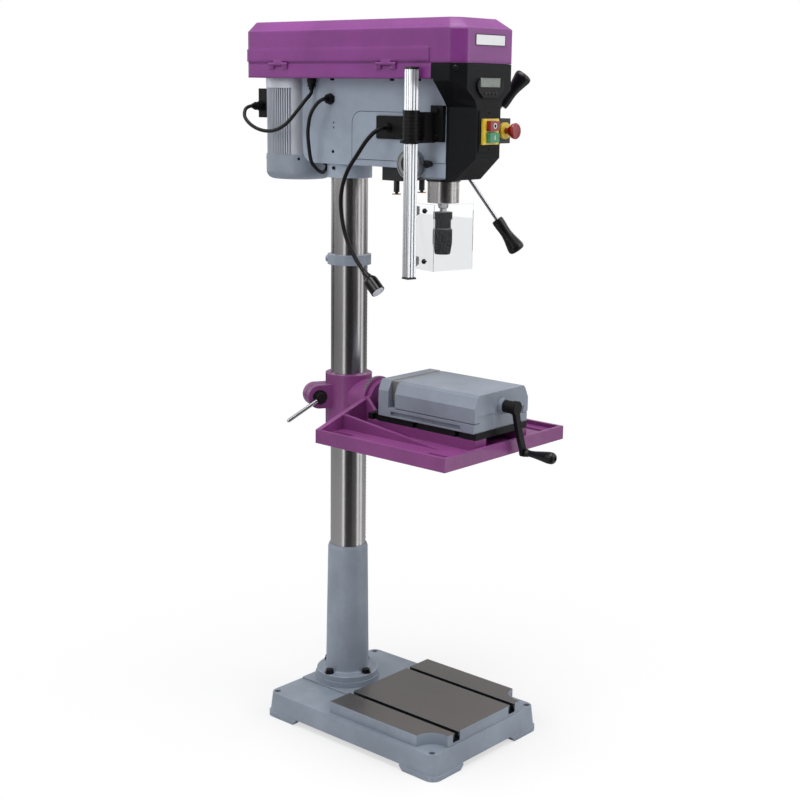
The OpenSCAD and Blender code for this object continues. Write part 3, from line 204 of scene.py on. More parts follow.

# %% [markdown]
# Cast iron parts are sprayed with a thick blue-grey paint. It never lies flat: it has an orange peel
# a few tenths of a millimetre high, and it thins out on edges. Noise at three scales gives the peel,
# the grime and the slow change of tone. The rounded normal finds the edges, which are painted
# lighter, partly as wear and partly as a painted highlight. The table and the base have a coarser
# coat whose highest points are painted lighter as flecks, a painted highlight where they catch the light.

# %% Sprayed paint
def sprayed(name, colour, peel=0.35, round_edge=0.0016, rough=0.36, coarse=420, flecks=0.0):
    paint = Finish(name, Specular_IOR_Level=0.45, Coat_Roughness=0.12)
    vector, *_ = paint.place()
    soft = paint.softened(round_edge)
    edge = paint.edges(soft)
    slow = paint.noise(vector, 7, 4, 0.6)
    peel_height = paint.noise(vector, coarse, 2, 0.45)
    grime = paint.noise(vector, 34, 5, 0.65)
    light, dark = shaded(colour, 1.1), shaded(colour, 0.86)
    wear_and_highlight = shaded(colour, 1.45, 0.02)
    tone = paint.mix(dark, light, slow.ramp(0.3, 0.7))
    tone = paint.mix(tone, dark, grime.ramp(0.62, 0.8) * 0.5)
    # Edges, and the flecks on a coarse coat, are painted lighter: wear on the edges, and a painted highlight
    # on both.
    tone = paint.mix(tone, wear_and_highlight, (edge * 0.42).either(peel_height.ramp(0.6, 0.72) * flecks))
    return paint.wear(
        Base_Color=tone,
        Roughness=rough + slow * 0.1 + grime.ramp(0.55, 0.8) * 0.12,
        Coat_Weight=0.22 - grime.ramp(0.5, 0.8) * 0.12,
        Normal=paint.bump(peel_height, peel, 0.0006, soft),
    )


GREY = srgb(137, 147, 160)
PURPLE = srgb(120, 48, 123)
grey_paint = sprayed("grey_paint", GREY)
vise_paint = sprayed("vise_paint", srgb(128, 136, 149), peel=0.45, rough=0.42)
cover_paint = sprayed("cover_paint", PURPLE, peel=0.16, round_edge=0.009, rough=0.33, coarse=300)
table_paint = sprayed("table_paint", srgb(125, 56, 118), peel=0.75, rough=0.42, coarse=330, flecks=0.4)
print("sprayed paints:", grey_paint.material.name, cover_paint.material.name, table_paint.material.name)

# %% [markdown]
# The work face of the base is planed and left bare under a film of rust-preventing oil, so it is
# dark, brownish and striped along the cut. It is the same casting as the painted sides, so one
# finish covers both and a mask by height and facing chooses between them.

# %% Base casting with its planed face
base_finish = sprayed("base_casting", GREY, peel=0.5, coarse=360, flecks=0.16)
vector, across, along, up = base_finish.place()
facing_up = base_finish.parts(base_finish.node("ShaderNodeTexCoord", output=1))[2] > 0.9
RIM_TOP, FACE_LEVEL, FACE_BACK, FACE_HALF = 0.0715, 0.0945, 0.0721, 0.1905
SLOT_AT, SLOT_HALF = 0.11, 0.0131
planed = (up > RIM_TOP) * facing_up * (abs(across) < FACE_HALF) * (along < FACE_BACK)
planed = planed * (up > FACE_LEVEL).either(up < 0.073)
strokes = base_finish.noise(base_finish.stretched(vector, (900, 5, 1)), 1, 3, 0.6)
oil = base_finish.noise(vector, 9, 4, 0.6)
bare = base_finish.mix(srgb(88, 84, 82), srgb(122, 118, 115), strokes * 0.6 + oil * 0.4)
aside = abs(across) - SLOT_AT
in_slot = (abs(aside) < SLOT_HALF) * (up > RIM_TOP) * (up < FACE_LEVEL) * (along < FACE_BACK)
# The slots are bare metal too, and their inside is painted a dark grey, a painted shade in the recess.
bare = base_finish.mix(bare, srgb(52, 55, 60), in_slot)
planed = planed.either(in_slot)
rough = base_finish.fed("Roughness")
base_finish.wear(
    Base_Color=base_finish.mix(base_finish.fed("Base Color"), bare, planed),
    Metallic=planed * 0.75,
    Roughness=rough * (1 - planed) + planed * (0.34 + oil * 0.14),
)
print("planed face is", 2 * FACE_HALF, "m wide and ends at y =", FACE_BACK)

# %% [markdown]
# Bare steel differs by how it was made. The column and quill are ground round, which leaves rings too
# fine to see singly but which spread a reflection upwards and downwards. Chrome is almost a mirror.
# Black oxide is a dull dark skin. Cast aluminium is pale and grainy.

# %% Metals
def ground_steel(name, colour, lines, rough, stain=0.25, ridge=0.12):
    metal = Finish(name, Metallic=1.0)
    vector, *_ = metal.place()
    rings = metal.noise(metal.stretched(vector, lines), 1, 3, 0.65)
    cloud = metal.noise(metal.stretched(vector, (6, 6, 1.6)), 1, 4, 0.6)
    dark = shaded(colour, 0.72)
    brown = (colour[0] * 0.62, colour[1] * 0.52, colour[2] * 0.44, 1)
    tone = metal.mix(dark, colour, rings * 0.5 + cloud * 0.5)
    tone = metal.mix(tone, brown, cloud.ramp(0.6, 0.78) * stain)
    return metal.wear(
        Base_Color=tone,
        Roughness=rough + cloud * 0.08 + rings * 0.05,
        Normal=metal.bump(rings, ridge, 0.00008, metal.softened(0.0006)),
    )


column_steel = ground_steel("column_steel", srgb(196, 194, 194), (3, 3, 2600), 0.17, 0.35)
turned_steel = ground_steel("turned_steel", srgb(205, 203, 202), (4, 4, 3000), 0.2)
jaw_steel = ground_steel("jaw_steel", srgb(176, 175, 174), (3, 1500, 1500), 0.26, 0.15)
zinc = ground_steel("zinc", srgb(168, 170, 172), (700, 700, 700), 0.34)
chrome = ground_steel("chrome", srgb(172, 173, 176), (40, 40, 40), 0.15, 0.05, 0.02)


def cast_alloy(name, colour, rough):
    metal = Finish(name, Metallic=1.0)
    vector, *_ = metal.place()
    skin = metal.noise(vector, 900, 3, 0.6)
    cloud = metal.noise(metal.stretched(vector, (22, 22, 4)), 1, 4, 0.6)
    return metal.wear(
        Base_Color=metal.mix(colour, shaded(colour, 1.15), cloud),
        Roughness=rough + skin * 0.12,
        Normal=metal.bump(skin, 0.2, 0.0002, metal.softened(0.0008)),
    )


motor_alloy = cast_alloy("motor_alloy", srgb(196, 200, 208), 0.5)
pulley_alloy = cast_alloy("pulley_alloy", srgb(200, 201, 203), 0.22)


def blackened(name, shade, rough, grain=1500, strength=0.12, metallic=0.12, gloss=0.3):
    skin_finish = Finish(name, Metallic=metallic, Specular_IOR_Level=gloss)
    vector, *_ = skin_finish.place()
    soft = skin_finish.softened(0.0008)
    edge = skin_finish.edges(soft)
    skin = skin_finish.noise(vector, grain, 2, 0.5)
    cloud = skin_finish.noise(vector, 40, 3, 0.6)
    # Edges are painted lighter, a painted highlight; random patches are a little lighter too.
    tone = skin_finish.mix(shade, shaded(shade, 2.6, 0.01), edge * 0.3 + cloud.ramp(0.6, 0.9) * 0.2)
    return skin_finish.wear(
        Base_Color=tone,
        Roughness=rough + cloud * 0.12,
        Normal=skin_finish.bump(skin, strength, 0.0002, soft),
    )


black_oxide = blackened("black_oxide", srgb(13, 13, 15), 0.26, gloss=0.22)
print("metals:", [m.material.name for m in (column_steel, chrome, motor_alloy, black_oxide)])

# %% [markdown]
# Moulded black plastic is never pure black: it is a dark grey with a spark-eroded grain that spreads
# its highlights. Grips are smoother and shinier, and cord rubber is duller. The same routine makes
# them all, with the metal share at nothing.

# %% Plastics and rubber
housing_plastic = blackened("housing_plastic", srgb(13, 14, 17), 0.42, 2200, 0.5, 0, 0.14)
part_plastic = blackened("part_plastic", srgb(14, 14, 16), 0.4, 1800, 0.25, 0, 0.2)
grip_plastic = blackened("grip_plastic", srgb(19, 19, 22), 0.26, 1200, 0.08, 0)
lamp_enamel = blackened("lamp_enamel", srgb(13, 13, 14), 0.1, 900, 0.03, 0)
cord_rubber = blackened("cord_rubber", srgb(17, 17, 19), 0.42, 2500, 0.2, 0)


def coloured_plastic(name, colour, rough=0.24):
    shell = Finish(name, Coat_Weight=0.3, Coat_Roughness=0.1)
    vector, *_ = shell.place()
    soft = shell.softened(0.0007)
    cloud = shell.noise(vector, 60, 3, 0.6)
    return shell.wear(
        Base_Color=shell.mix(shaded(colour, 0.82), colour, cloud.ramp(0.3, 0.65)),
        Roughness=rough + cloud * 0.1,
        Normal=shell.bump(shell.noise(vector, 1500, 2, 0.5), 0.08, 0.0002, soft),
    )


yellow = coloured_plastic("yellow_plastic", srgb(226, 196, 62))
red = coloured_plastic("red_plastic", srgb(134, 13, 22))
green = coloured_plastic("green_plastic", srgb(48, 132, 92))
white_print = coloured_plastic("white_print", srgb(228, 228, 226), 0.4)
lcd_glass = coloured_plastic("lcd_glass", srgb(114, 121, 116), 0.12)
lens_glass = coloured_plastic("lens_glass", srgb(214, 220, 226), 0.05)
print("plastics:", [m.material.name for m in (housing_plastic, yellow, red, green)])

# %% [markdown]
# The chuck guard is a clear sheet of polycarbonate. Light passes through its faces, and its edges
# look darker. Full transmission with a faint cool tint does the first, and a darker colour painted
# along the edges, a painted shade, does the second; fine scratches add a little haze.

# %% Clear sheet
clear = Finish("clear_sheet", Transmission_Weight=1.0, IOR=1.2)
vector, *_ = clear.place()
scratch = clear.noise(clear.stretched(vector, (30, 30, 900)), 1, 4, 0.7)
soft = clear.softened(0.001)
clear.wear(
    # The edges are painted darker, a painted shade.
    Base_Color=clear.mix(srgb(229, 231, 233), srgb(188, 193, 198), clear.edges(soft)),
    Roughness=0.015 + scratch.ramp(0.62, 0.85) * 0.18,
    Normal=soft,
)
print("clear sheet IOR", clear.shader.inputs["IOR"].default_value)

# %% [markdown]
# Some solids are one piece in the model but two finishes in life, such as the aluminium post with its
# black end caps and bracket, or the head with its black quill wiper. The grooves along the post are
# painted black, and a dark line is painted round the head's side panel: both are painted shade, in a
# recess and beside a step. The second finish is chosen by where a point lies at rest, so it stays put
# when the piece moves.

# %% Two finishes on one solid
def two_tone(
    name, first, second, first_rough, second_rough, metal, chosen, lines=(3, 3, 900), ridge=0.1, depth=0.8
):
    """chosen gives a mask of the second tone from x, y, z; metal is the metal share of each tone."""
    both = Finish(name)
    vector, x, y, z = both.place()
    soft = both.softened(0.0007)
    mask = chosen(x, y, z)
    grain = both.noise(both.stretched(vector, lines), 1, 3, 0.6)
    shade = both.mix(shaded(first, depth), first, grain)
    # The second tone is painted lighter along its edges, a painted highlight.
    dark = both.mix(second, shaded(second, 1.4), both.edges(soft) * 0.5)
    return both.wear(
        Base_Color=both.mix(shade, dark, mask),
        Metallic=(1 - mask) * metal[0] + mask * metal[1],
        Roughness=(1 - mask) * first_rough + mask * second_rough + grain * 0.08,
        Normal=both.bump(grain, ridge, 0.0001, soft),
    )


POST_AT, POST_TURN = (-0.130, -0.121), math.radians(-14)
POST_FOOT, POST_TOP = 1.1870, 1.6550
FEED_Y, FEED_Z = -0.070, 1.441


def beside_post(x, y, z):
    away_x, away_y = x - POST_AT[0], y - POST_AT[1]
    along = away_x * math.cos(POST_TURN) + away_y * math.sin(POST_TURN)
    aside = away_y * math.cos(POST_TURN) - away_x * math.sin(POST_TURN)
    black_parts_and_groove_shade = (along > 0.01135).either(z < POST_FOOT).either(z > POST_TOP)
    # The grooves on the post's faces are painted black as well, a painted shade in each groove.
    for run, deep in ((along, aside), (aside, along)):
        from_line = abs(run) - 0.004
        groove_shade = (abs(from_line) < 0.0009) * (deep < -0.0094) * (deep > -0.0112)
        black_parts_and_groove_shade = black_parts_and_groove_shade.either(groove_shade)
    return black_parts_and_groove_shade


post_finish = two_tone(
    "guard_post", srgb(226, 229, 233), srgb(22, 22, 24), 0.16, 0.4, (0.6, 0), beside_post,
    lines=(300, 300, 2), ridge=0.01, depth=0.94,
)
head_finish = sprayed("head_casting", srgb(151, 162, 177))
_, x, y, z = head_finish.place()
wiper = (z < 1.4075) * (y < 0)
# A dark line is painted just outside the raised side panel of the head, a painted shade beside the panel's
# step.
PANEL_BACK, PANEL_TOP, PANEL_FOOT, PANEL_ROUND = 0.0985, 1.530, 1.446, 0.028
over_y, over_z = (y - PANEL_BACK).either(0.0), (z - PANEL_TOP).either(0.0)
off_panel = (over_y * over_y + over_z * over_z).root() - PANEL_ROUND
off_panel = off_panel.either(PANEL_FOOT - z)
on_side = (abs(x) > 0.0598) * (abs(x) < 0.0602)
panel_shade_width = 0.0014 + over_y * 0.055
panel_shade_line = (off_panel > 0.0) * (off_panel < panel_shade_width) * on_side * (y < 0.1305)
with_panel_shade = head_finish.mix(head_finish.fed("Base Color"), srgb(72, 78, 88), panel_shade_line)
head_finish.wear(Base_Color=head_finish.mix(with_panel_shade, srgb(22, 22, 24), wiper))
estop_finish = two_tone(
    "estop_body", srgb(28, 28, 31), srgb(222, 190, 58), 0.38, 0.25, (0, 0), lambda x, y, z: y < -0.2322
)
laser_finish = two_tone(
    "laser_body", srgb(28, 28, 31), srgb(186, 140, 82), 0.38, 0.2, (0, 1), lambda x, y, z: z < 1.36805
)


def cap_centre(x, y, z):
    across_y, across_z = y - FEED_Y, z - FEED_Z
    out = (across_y * across_y + across_z * across_z).root()
    return (out < 0.0215).either((out > 0.0300) * (out < 0.0318) * (x < -0.078))


cap_finish = two_tone(
    "spring_cap", srgb(176, 178, 181), srgb(26, 26, 28), 0.26, 0.3, (1, 0), cap_centre,
    lines=(60, 60, 60), ridge=0.03,
)


BOSS_AT, BOSS_OUT = (-0.07434, 0.23371, 0.846), (-0.4848, -0.8746)


def clamp_boss(x, y, z):
    away_x, away_y, up = x - BOSS_AT[0], y - BOSS_AT[1], z - BOSS_AT[2]
    along = away_x * BOSS_OUT[1] + away_y * -BOSS_OUT[0]
    outwards = away_x * BOSS_OUT[0] + away_y * BOSS_OUT[1]
    out = (along * along + up * up).root()
    return (out < 0.0134).either((out < 0.019) * (outwards < 0.0304))


lever_finish = two_tone(
    "lock_lever", srgb(206, 207, 210), srgb(18, 18, 20), 0.18, 0.3, (1, 0), clamp_boss,
    lines=(40, 40, 40), ridge=0.02,
)
print("post axis", POST_AT, "turned", round(math.degrees(POST_TURN)), "degrees")

# %% [markdown]
# Every solid now gets its finish. This one list says which goes where.

# %% Dress the solids
def dress(finish, *names):
    for name in names:
        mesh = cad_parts[name].data
        mesh.materials.clear()
        mesh.materials.append(finish.material)
        mesh.polygons.foreach_set("material_index", [0] * len(mesh.polygons))


dress(base_finish, "base")
dress(grey_paint, "column_foot", "rack_collar", "motor_bell")
dress(head_finish, "head")
dress(vise_paint, "vise_base", "vise_slide")
dress(cover_paint, "belt_pan", "belt_lid", "hinge_pins")
dress(table_paint, "table", "table_bracket")
dress(column_steel, "column")
dress(turned_steel, "quill", "spindle")
dress(cap_finish, "spring_cap")
dress(lever_finish, "lock_lever")
dress(jaw_steel, "fixed_jaw", "moving_jaw")
dress(zinc, "lift_rack", "lift_gear", "quill_bearings", "idler_arm")
dress(chrome, "feed_spokes")
dress(motor_alloy, "motor_body")
dress(pulley_alloy, "spindle_pulley", "idler_pulley", "motor_pulley")
dress(post_finish, "guard_rail")
dress(clear, "guard_shield")
dress(black_oxide, "foot_bolts", "lock_screws", "tilt_bolt", "chuck_body", "chuck_sleeve", "feed_shaft")
dress(part_plastic, "display_bezel", "terminal_box", "guard_mount", "guard_sleeve", "lamp_arm")
dress(part_plastic, "vise_plate", "vise_crank", "lift_crank", "cable_glands")
dress(housing_plastic, "front_housing")
dress(grip_plastic, "feed_grips", "vise_grip", "quill_lock")
dress(lamp_enamel, "lamp_head")
dress(cord_rubber, "motor_cable", "switch_cable", "drive_belt", "spindle_belt")
dress(yellow, "switch_frame")
dress(red, "stop_button", "estop_button")
dress(green, "start_button")
dress(estop_finish, "estop_box")
dress(laser_finish, "laser_unit")
print("dressed", sum(bool(o.data.materials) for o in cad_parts.values()), "solids")

# %% [markdown]
# Two leads hang between their glands, one from the motor's terminal box and one from the side of the
# head to its underside. A curve with a round section follows the same points as the solid lead. The
# points are few, so midpoints of a smooth curve are put between them twice.

# %% Leads
MOTOR_ROUTE = [
    (-61, 472, 1565), (-66.5, 472, 1565), (-72, 472, 1565), (-89, 474, 1558), (-104, 462, 1539),
    (-108, 438, 1521), (-109, 406, 1509), (-109, 370, 1505), (-108, 336, 1511), (-105, 305, 1528),
    (-98, 280, 1555), (-86, 262, 1582), (-75, 256, 1596), (-72, 255, 1603), (-72, 255, 1607.5),
    (-72, 255, 1612),
]
SWITCH_ROUTE = [
    (-73, 199, 1586), (-78.5, 199, 1586), (-84, 199, 1586), (-96, 209, 1577), (-101, 227, 1552),
    (-101, 236, 1524), (-99, 240, 1494), (-91, 239, 1441), (-80, 238, 1424), (-62, 241, 1412),
    (-40, 249, 1406), (-22, 258, 1408), (-11.5, 262, 1414), (-10, 262, 1420), (-10, 262, 1425),
    (-10, 262, 1430),
]
LAMP_ROUTE = [
    (-66, 4, 1523), (-86, 1, 1522), (-104, -1, 1519), (-116, 8, 1510), (-122, 28, 1488),
    (-125, 52, 1457), (-125, 74, 1431), (-125, 91, 1402), (-125, 101, 1370), (-125, 103, 1340),
    (-125, 98, 1304), (-125, 88, 1270), (-125, 72, 1240), (-125, 50, 1210), (-125, 25, 1184),
]


def eased(points):
    made = []
    for i in range(len(points) - 1):
        a, b, c, d = points[max(i - 1, 0)], points[i], points[i + 1], points[min(i + 2, len(points) - 1)]
        made += [b, tuple((9 * (q + r) - p - s) / 16 for p, q, r, s in zip(a, b, c, d))]
    return made + [points[-1]]


def lead(name, route, radius, finish, body, *stands_for):
    points = eased(eased(route))
    curve = bpy.data.curves.new(name, "CURVE")
    curve.dimensions = "3D"
    curve.bevel_depth, curve.bevel_resolution, curve.use_fill_caps = radius, 6, True
    spline = curve.splines.new("POLY")
    spline.points.add(len(points) - 1)
    for point, at in zip(spline.points, points):
        point.co = (*[c / 1000 for c in at], 1)
    spline.use_smooth = True
    curve.materials.append(finish.material)
    piece = bpy.data.objects.new(name, curve)
    bpy.context.scene.collection.objects.link(piece)
    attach(piece, body)
    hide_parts(*stands_for)
    length = sum(math.dist(p, q) for p, q in zip(points, points[1:])) / 1000
    print(name, "is", round(length, 3), "m long")
    return piece, length


for name, route, node in [
    ("motor_lead", MOTOR_ROUTE, "motor_cable"), ("switch_lead", SWITCH_ROUTE, "switch_cable")
]:
    piece, length = lead(name, route, 0.0045, cord_rubber, "stand", node)

# %% [markdown]
# Small trim is built from two shapes: a profile turned about an axis, and an outline given a
# thickness. Profiles have their rounded edges drawn in, and outlines get a small bevel, because a
# sharp edge never catches the light the way a real one does.

# %% Turned and flat pieces
def finish_piece(name, mesh, placed, finish, body, bevel):
    mesh.transform(placed)
    mesh.materials.append(finish.material)
    mesh.shade_smooth()
    mesh.set_sharp_from_angle(angle=math.radians(35))
    piece = bpy.data.objects.new(name, mesh)
    bpy.context.scene.collection.objects.link(piece)
    if bevel:
        rounding = piece.modifiers.new("rounding", "BEVEL")
        rounding.width, rounding.segments, rounding.limit_method = bevel, 2, "ANGLE"
    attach(piece, body)
    return piece


def as_mesh(name, build):
    mesh = bpy.data.meshes.new(name)
    build.to_mesh(mesh)
    build.free()
    return mesh


def turned(name, profile, placed, finish, body, steps=40):
    """profile is a list of (radius, height) in metres, turned about the local z axis."""
    build = bmesh.new()
    rings = [
        [build.verts.new((r * math.cos(math.tau * k / steps), r * math.sin(math.tau * k / steps), h))
         for k in range(steps)]
        for r, h in profile
    ]
    for low, high in zip(rings, rings[1:]):
        for k in range(steps):
            build.faces.new((low[k], low[(k + 1) % steps], high[(k + 1) % steps], high[k]))
    build.faces.new(list(reversed(rings[0])))
    build.faces.new(rings[-1])
    return finish_piece(name, as_mesh(name, build), placed, finish, body, 0)


def flat(name, outline, thickness, placed, finish, body, slot, bevel=0.0003):
    """outline is a list of (x, y) in metres, counterclockwise; the piece grows along local z."""
    build = bmesh.new()
    face = build.faces.new([build.verts.new((x, y, 0)) for x, y in outline])
    grown = bmesh.ops.extrude_face_region(build, geom=[face])
    moved = [v for v in grown["geom"] if isinstance(v, bmesh.types.BMVert)]
    bmesh.ops.translate(build, verts=moved, vec=(0, 0, thickness))
    bmesh.ops.recalc_face_normals(build, faces=build.faces)
    return finish_piece(name, as_mesh(name, build), placed, finish, body, bevel)


def rounded_rectangle(width, height, radius, steps=6):
    corners = [(1, 1, 0), (-1, 1, 90), (-1, -1, 180), (1, -1, 270)]
    return [
        (sx * (width / 2 - radius) + radius * math.cos(math.radians(a + 90 * k / steps)),
         sy * (height / 2 - radius) + radius * math.sin(math.radians(a + 90 * k / steps)))
        for sx, sy, a in corners for k in range(steps + 1)
    ]


def on_front(x, y, z):
    """Places a flat piece on a face that looks towards the operator, growing outwards."""
    return Matrix.Translation((x, y, z)) @ Matrix.Rotation(math.radians(90), 4, "X")


print("a rounded rectangle has", len(rounded_rectangle(2, 1, 0.2)), "corners")

# %% [markdown]
# The front of the lid carries a bare metal plate in a thin raised frame. It stays blank.

# %% Bare plate on the lid
plate_alloy = cast_alloy("plate_alloy", srgb(202, 203, 205), 0.3)
PLATE_AT, RIM_HEIGHT = (0.0009, -0.2410, 1.7213), 0.0012
outside, inside = rounded_rectangle(0.108, 0.0245, 0.002), rounded_rectangle(0.1052, 0.0217, 0.001)
bare_plate = flat("lid_plate", outside, 0.0007, on_front(*PLATE_AT), plate_alloy, "lid", "alloy")
build = bmesh.new()
rings = [
    [build.verts.new((x, y, h)) for x, y in line]
    for line, h in ((outside, 0), (outside, RIM_HEIGHT), (inside, RIM_HEIGHT), (inside, 0))
]
for outer, inner in zip(rings, rings[1:] + rings[:1]):
    for k in range(len(outer)):
        build.faces.new((outer[k], outer[(k + 1) % len(outer)], inner[(k + 1) % len(outer)], inner[k]))
rim = as_mesh("lid_plate_rim", build)
finish_piece("lid_plate_rim", rim, on_front(*PLATE_AT), black_oxide, "lid", 0)
print("plate", [round(v, 4) for v in bare_plate.dimensions])

# %% [markdown]
# The depth and speed display is a grey liquid-crystal window set back in the black bezel, with a row
# of round keys below it. It is off, so the window is blank.

# %% Display window and keys
WINDOW_Z, WINDOW_Y, FRAME_Y, KEY_Y = 1.6280, -0.2440, -0.24385, -0.2450
window = rounded_rectangle(0.0735, 0.0205, 0.001)
flat(
    "display_window", window, 0.0004,
    on_front(0, WINDOW_Y, WINDOW_Z), lcd_glass, "stand", "black_plastic", 0.0001,
)
flat(
    "display_frame", window, 0.0002,
    on_front(0, FRAME_Y, WINDOW_Z), black_oxide, "stand", "black_plastic", 0,
)
KEY_STEP = 0.013
KEY = [(0.0001, 0), (0.0036, 0), (0.0036, 0.0014), (0.0031, 0.0021), (0.0018, 0.0024), (0.0001, 0.0024)]
for i in range(4):
    turned(
        f"display_key_{i}", KEY, on_front((i - 1.5) * KEY_STEP, KEY_Y, 1.6040), grip_plastic,
        "stand", 28,
    )
print("display keys at", [round((i - 1.5) * KEY_STEP, 4) for i in range(4)])

# %% [markdown]
# The two switch keys carry the common marks: a ring for off and a bar for on. They ride on their keys
# and move with them.

# %% Marks on the switch
SWITCH_Y, ON_Z, OFF_Z = -0.2610, 1.5060, 1.5320
flat(
    "on_mark", rounded_rectangle(0.0024, 0.0105, 0.0011), 0.0003,
    on_front(0, SWITCH_Y, ON_Z), white_print, "start_key", "green_plastic", 0.0001,
)
turned(
    "off_mark", [(0.0040, 0), (0.0062, 0), (0.0062, 0.0003), (0.0040, 0.0003), (0.0040, 0)],
    on_front(0, SWITCH_Y, OFF_Z), white_print, "stop_key", 36,
)
print("marks at z", ON_Z, "and", OFF_Z)

# %% [markdown]
# Black socket screws hold the belt pan from below and the motor's end bell from the side. Each head
# has a small round recess. A plastic plug closes a hole in the slanted flank of the front housing.

# %% Socket screws
def socket_screw(name, placed, radius, height, body="stand"):
    turned(
        name, [(0.0001, 0), (radius, 0), (radius, height * 0.85), (radius * 0.9, height),
               (radius * 0.55, height), (radius * 0.5, height * 0.45), (0.0001, height * 0.4)],
        placed, black_oxide, body, 24,
    )


PAN_UNDERSIDE = 1.635
down = Matrix.Rotation(math.pi, 4, "X")
for hand, x in (("left", -0.090), ("right", 0.090)):
    for k, y in enumerate((-0.108, -0.026, 0.167)):
        at = Matrix.Translation((x, y, PAN_UNDERSIDE)) @ down
        socket_screw(f"pan_screw_{hand}_{k}", at, 0.0052, 0.0055)
for k, angle in enumerate((45, 135, 225, 315)):
    out = Matrix.Rotation(math.radians(angle), 4, "Z") @ Matrix.Rotation(math.radians(90), 4, "Y")
    at = Matrix.Translation((0, 0.372, 1.437)) @ out @ Matrix.Translation((0, 0, 0.0772))
    socket_screw(f"bell_screw_{k}", at, 0.0034, 0.0062)
slant = Vector((-0.669, -0.743, 0)).normalized()
turn_out = Vector((0, 0, 1)).rotation_difference(slant).to_matrix().to_4x4()
turned(
    "housing_plug", [(0.0001, 0), (0.0062, 0), (0.0062, 0.0012), (0.0048, 0.0028), (0.0001, 0.0034)],
    Matrix.Translation((-0.1000, -0.2230, 1.6590)) @ turn_out, grip_plastic, "stand", 32,
)
print("pan screws at z", PAN_UNDERSIDE)

# %% [markdown]
# The lamp is a small turned head with a lens, on a stiff bendable neck. The neck is one smooth curve
# along the solid's own points, and its square foot is a moulded block with a cone for strain relief.

# %% Lamp
neck, neck_length = lead("lamp_neck", LAMP_ROUTE, 0.005, part_plastic, "stand", "lamp_arm")
leftwards = Matrix.Rotation(math.radians(-90), 4, "Y")
flat(
    "lamp_foot", rounded_rectangle(0.054, 0.083, 0.004), 0.0045,
    Matrix.Translation((-0.0615, 0.0035, 1.523)) @ leftwards, part_plastic, "stand", "black_plastic", 0.0008,
)
turned(
    "lamp_relief",
    [(0.0001, 0), (0.011, 0), (0.0108, 0.003), (0.0085, 0.006), (0.0074, 0.0115), (0.0062, 0.012),
     (0.0001, 0.012)],
    Matrix.Translation((-0.066, 0.004, 1.523)) @ leftwards, part_plastic, "stand",
)
lamp_end = Matrix.Translation([c / 1000 for c in LAMP_ROUTE[-1]])
lamp_place = lamp_end @ Matrix.Rotation(math.radians(133), 4, "X")
turned(
    "lamp_lens", [(0.0001, 0.0619), (0.0150, 0.0619), (0.0150, 0.0624), (0.0105, 0.0632), (0.0001, 0.0636)],
    lamp_place, lens_glass, "stand",
)
print("neck", round(neck_length, 3), "m")

# %% [markdown]
# The feed handle ends in three moulded grips, waisted behind a broad round end. Each is turned in one
# piece over its spoke. A ground steel ring shows between the two halves of the keyless chuck.

# %% Grips and chuck ring
spoke_hub = Matrix.Translation((0.1035, FEED_Y, FEED_Z))
SPOKE_ANGLES, SPOKE_LEAN = (240.8, 120.8, 0.8), -20.9
GRIP = [
    (0.0046, 0.168), (0.0125, 0.168), (0.0140, 0.1695), (0.0146, 0.174), (0.0144, 0.186), (0.0134, 0.198),
    (0.0134, 0.210), (0.0150, 0.222), (0.0180, 0.236), (0.0202, 0.246), (0.0207, 0.251), (0.0198, 0.2555),
    (0.0165, 0.259), (0.0090, 0.2605), (0.0001, 0.2608),
]
for k, angle in enumerate(SPOKE_ANGLES):
    around = Matrix.Rotation(math.radians(angle), 4, "X")
    leaning = around @ Matrix.Rotation(math.radians(SPOKE_LEAN), 4, "Z")
    placed = spoke_hub @ leaning @ Matrix.Rotation(math.radians(-90), 4, "X")
    grip = turned(f"feed_grip_{k}", GRIP, placed, grip_plastic, "feed", 48)
    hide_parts("feed_grips")
SPINDLE_Y = -0.1115
turned(
    "chuck_ring_line",
    [(0.0140, 0), (0.0196, 0), (0.0200, 0.0004), (0.0200, 0.0014), (0.0196, 0.0018), (0.0140, 0.0018)],
    Matrix.Translation((0, SPINDLE_Y, 1.2893)), zinc, "spindle", 48,
)
print("grips are", round(GRIP[-1][1] - GRIP[0][1], 3), "m long")

# %% [markdown]
# Where the bracket meets the table, an arc scale shows the tilt. It is a thin strip bent round the
# flange with a line for every five degrees. The lines are painted by angle, not drawn one by one.

# %% Tilt scale
TILT_Z, SCALE_START, SCALE_SPAN, DEGREES_A_LINE = 0.845, 35, 110, 5
scale_finish = Finish("tilt_scale", Metallic=0.2, Roughness=0.35)
vector, x, _, z = scale_finish.place()
turn = x.math("ARCTAN2", z - TILT_Z, x) * (180 / math.pi / DEGREES_A_LINE)
line = abs(turn.math("FRACT", turn + 0.5) - 0.5) < 0.09
haze = scale_finish.noise(vector, 120, 3, 0.6)
plain = scale_finish.mix(srgb(44, 44, 47), srgb(58, 58, 62), haze)
scale_finish.wear(Base_Color=scale_finish.mix(plain, srgb(186, 186, 188), line))
build = bmesh.new()
steps = 30
rows = []
angles = [math.radians(SCALE_START + SCALE_SPAN * k / steps) for k in range(steps + 1)]
for radius, depth in ((0.0590, 0.0885), (0.0596, 0.0885), (0.0596, 0.0955), (0.0590, 0.0955)):
    rows.append([
        build.verts.new((radius * math.cos(a), depth, TILT_Z + radius * math.sin(a))) for a in angles
    ])
for first, second in zip(rows, rows[1:] + rows[:1]):
    for k in range(steps):
        build.faces.new((first[k], first[k + 1], second[k + 1], second[k]))
build.faces.new([row[0] for row in rows])
build.faces.new([row[-1] for row in reversed(rows)])
bmesh.ops.recalc_face_normals(build, faces=build.faces)
strip = as_mesh("tilt_scale", build)
finish_piece("tilt_scale", strip, Matrix.Identity(4), scale_finish, "bracket", 0)
print("tilt scale spans", SCALE_SPAN, "degrees")

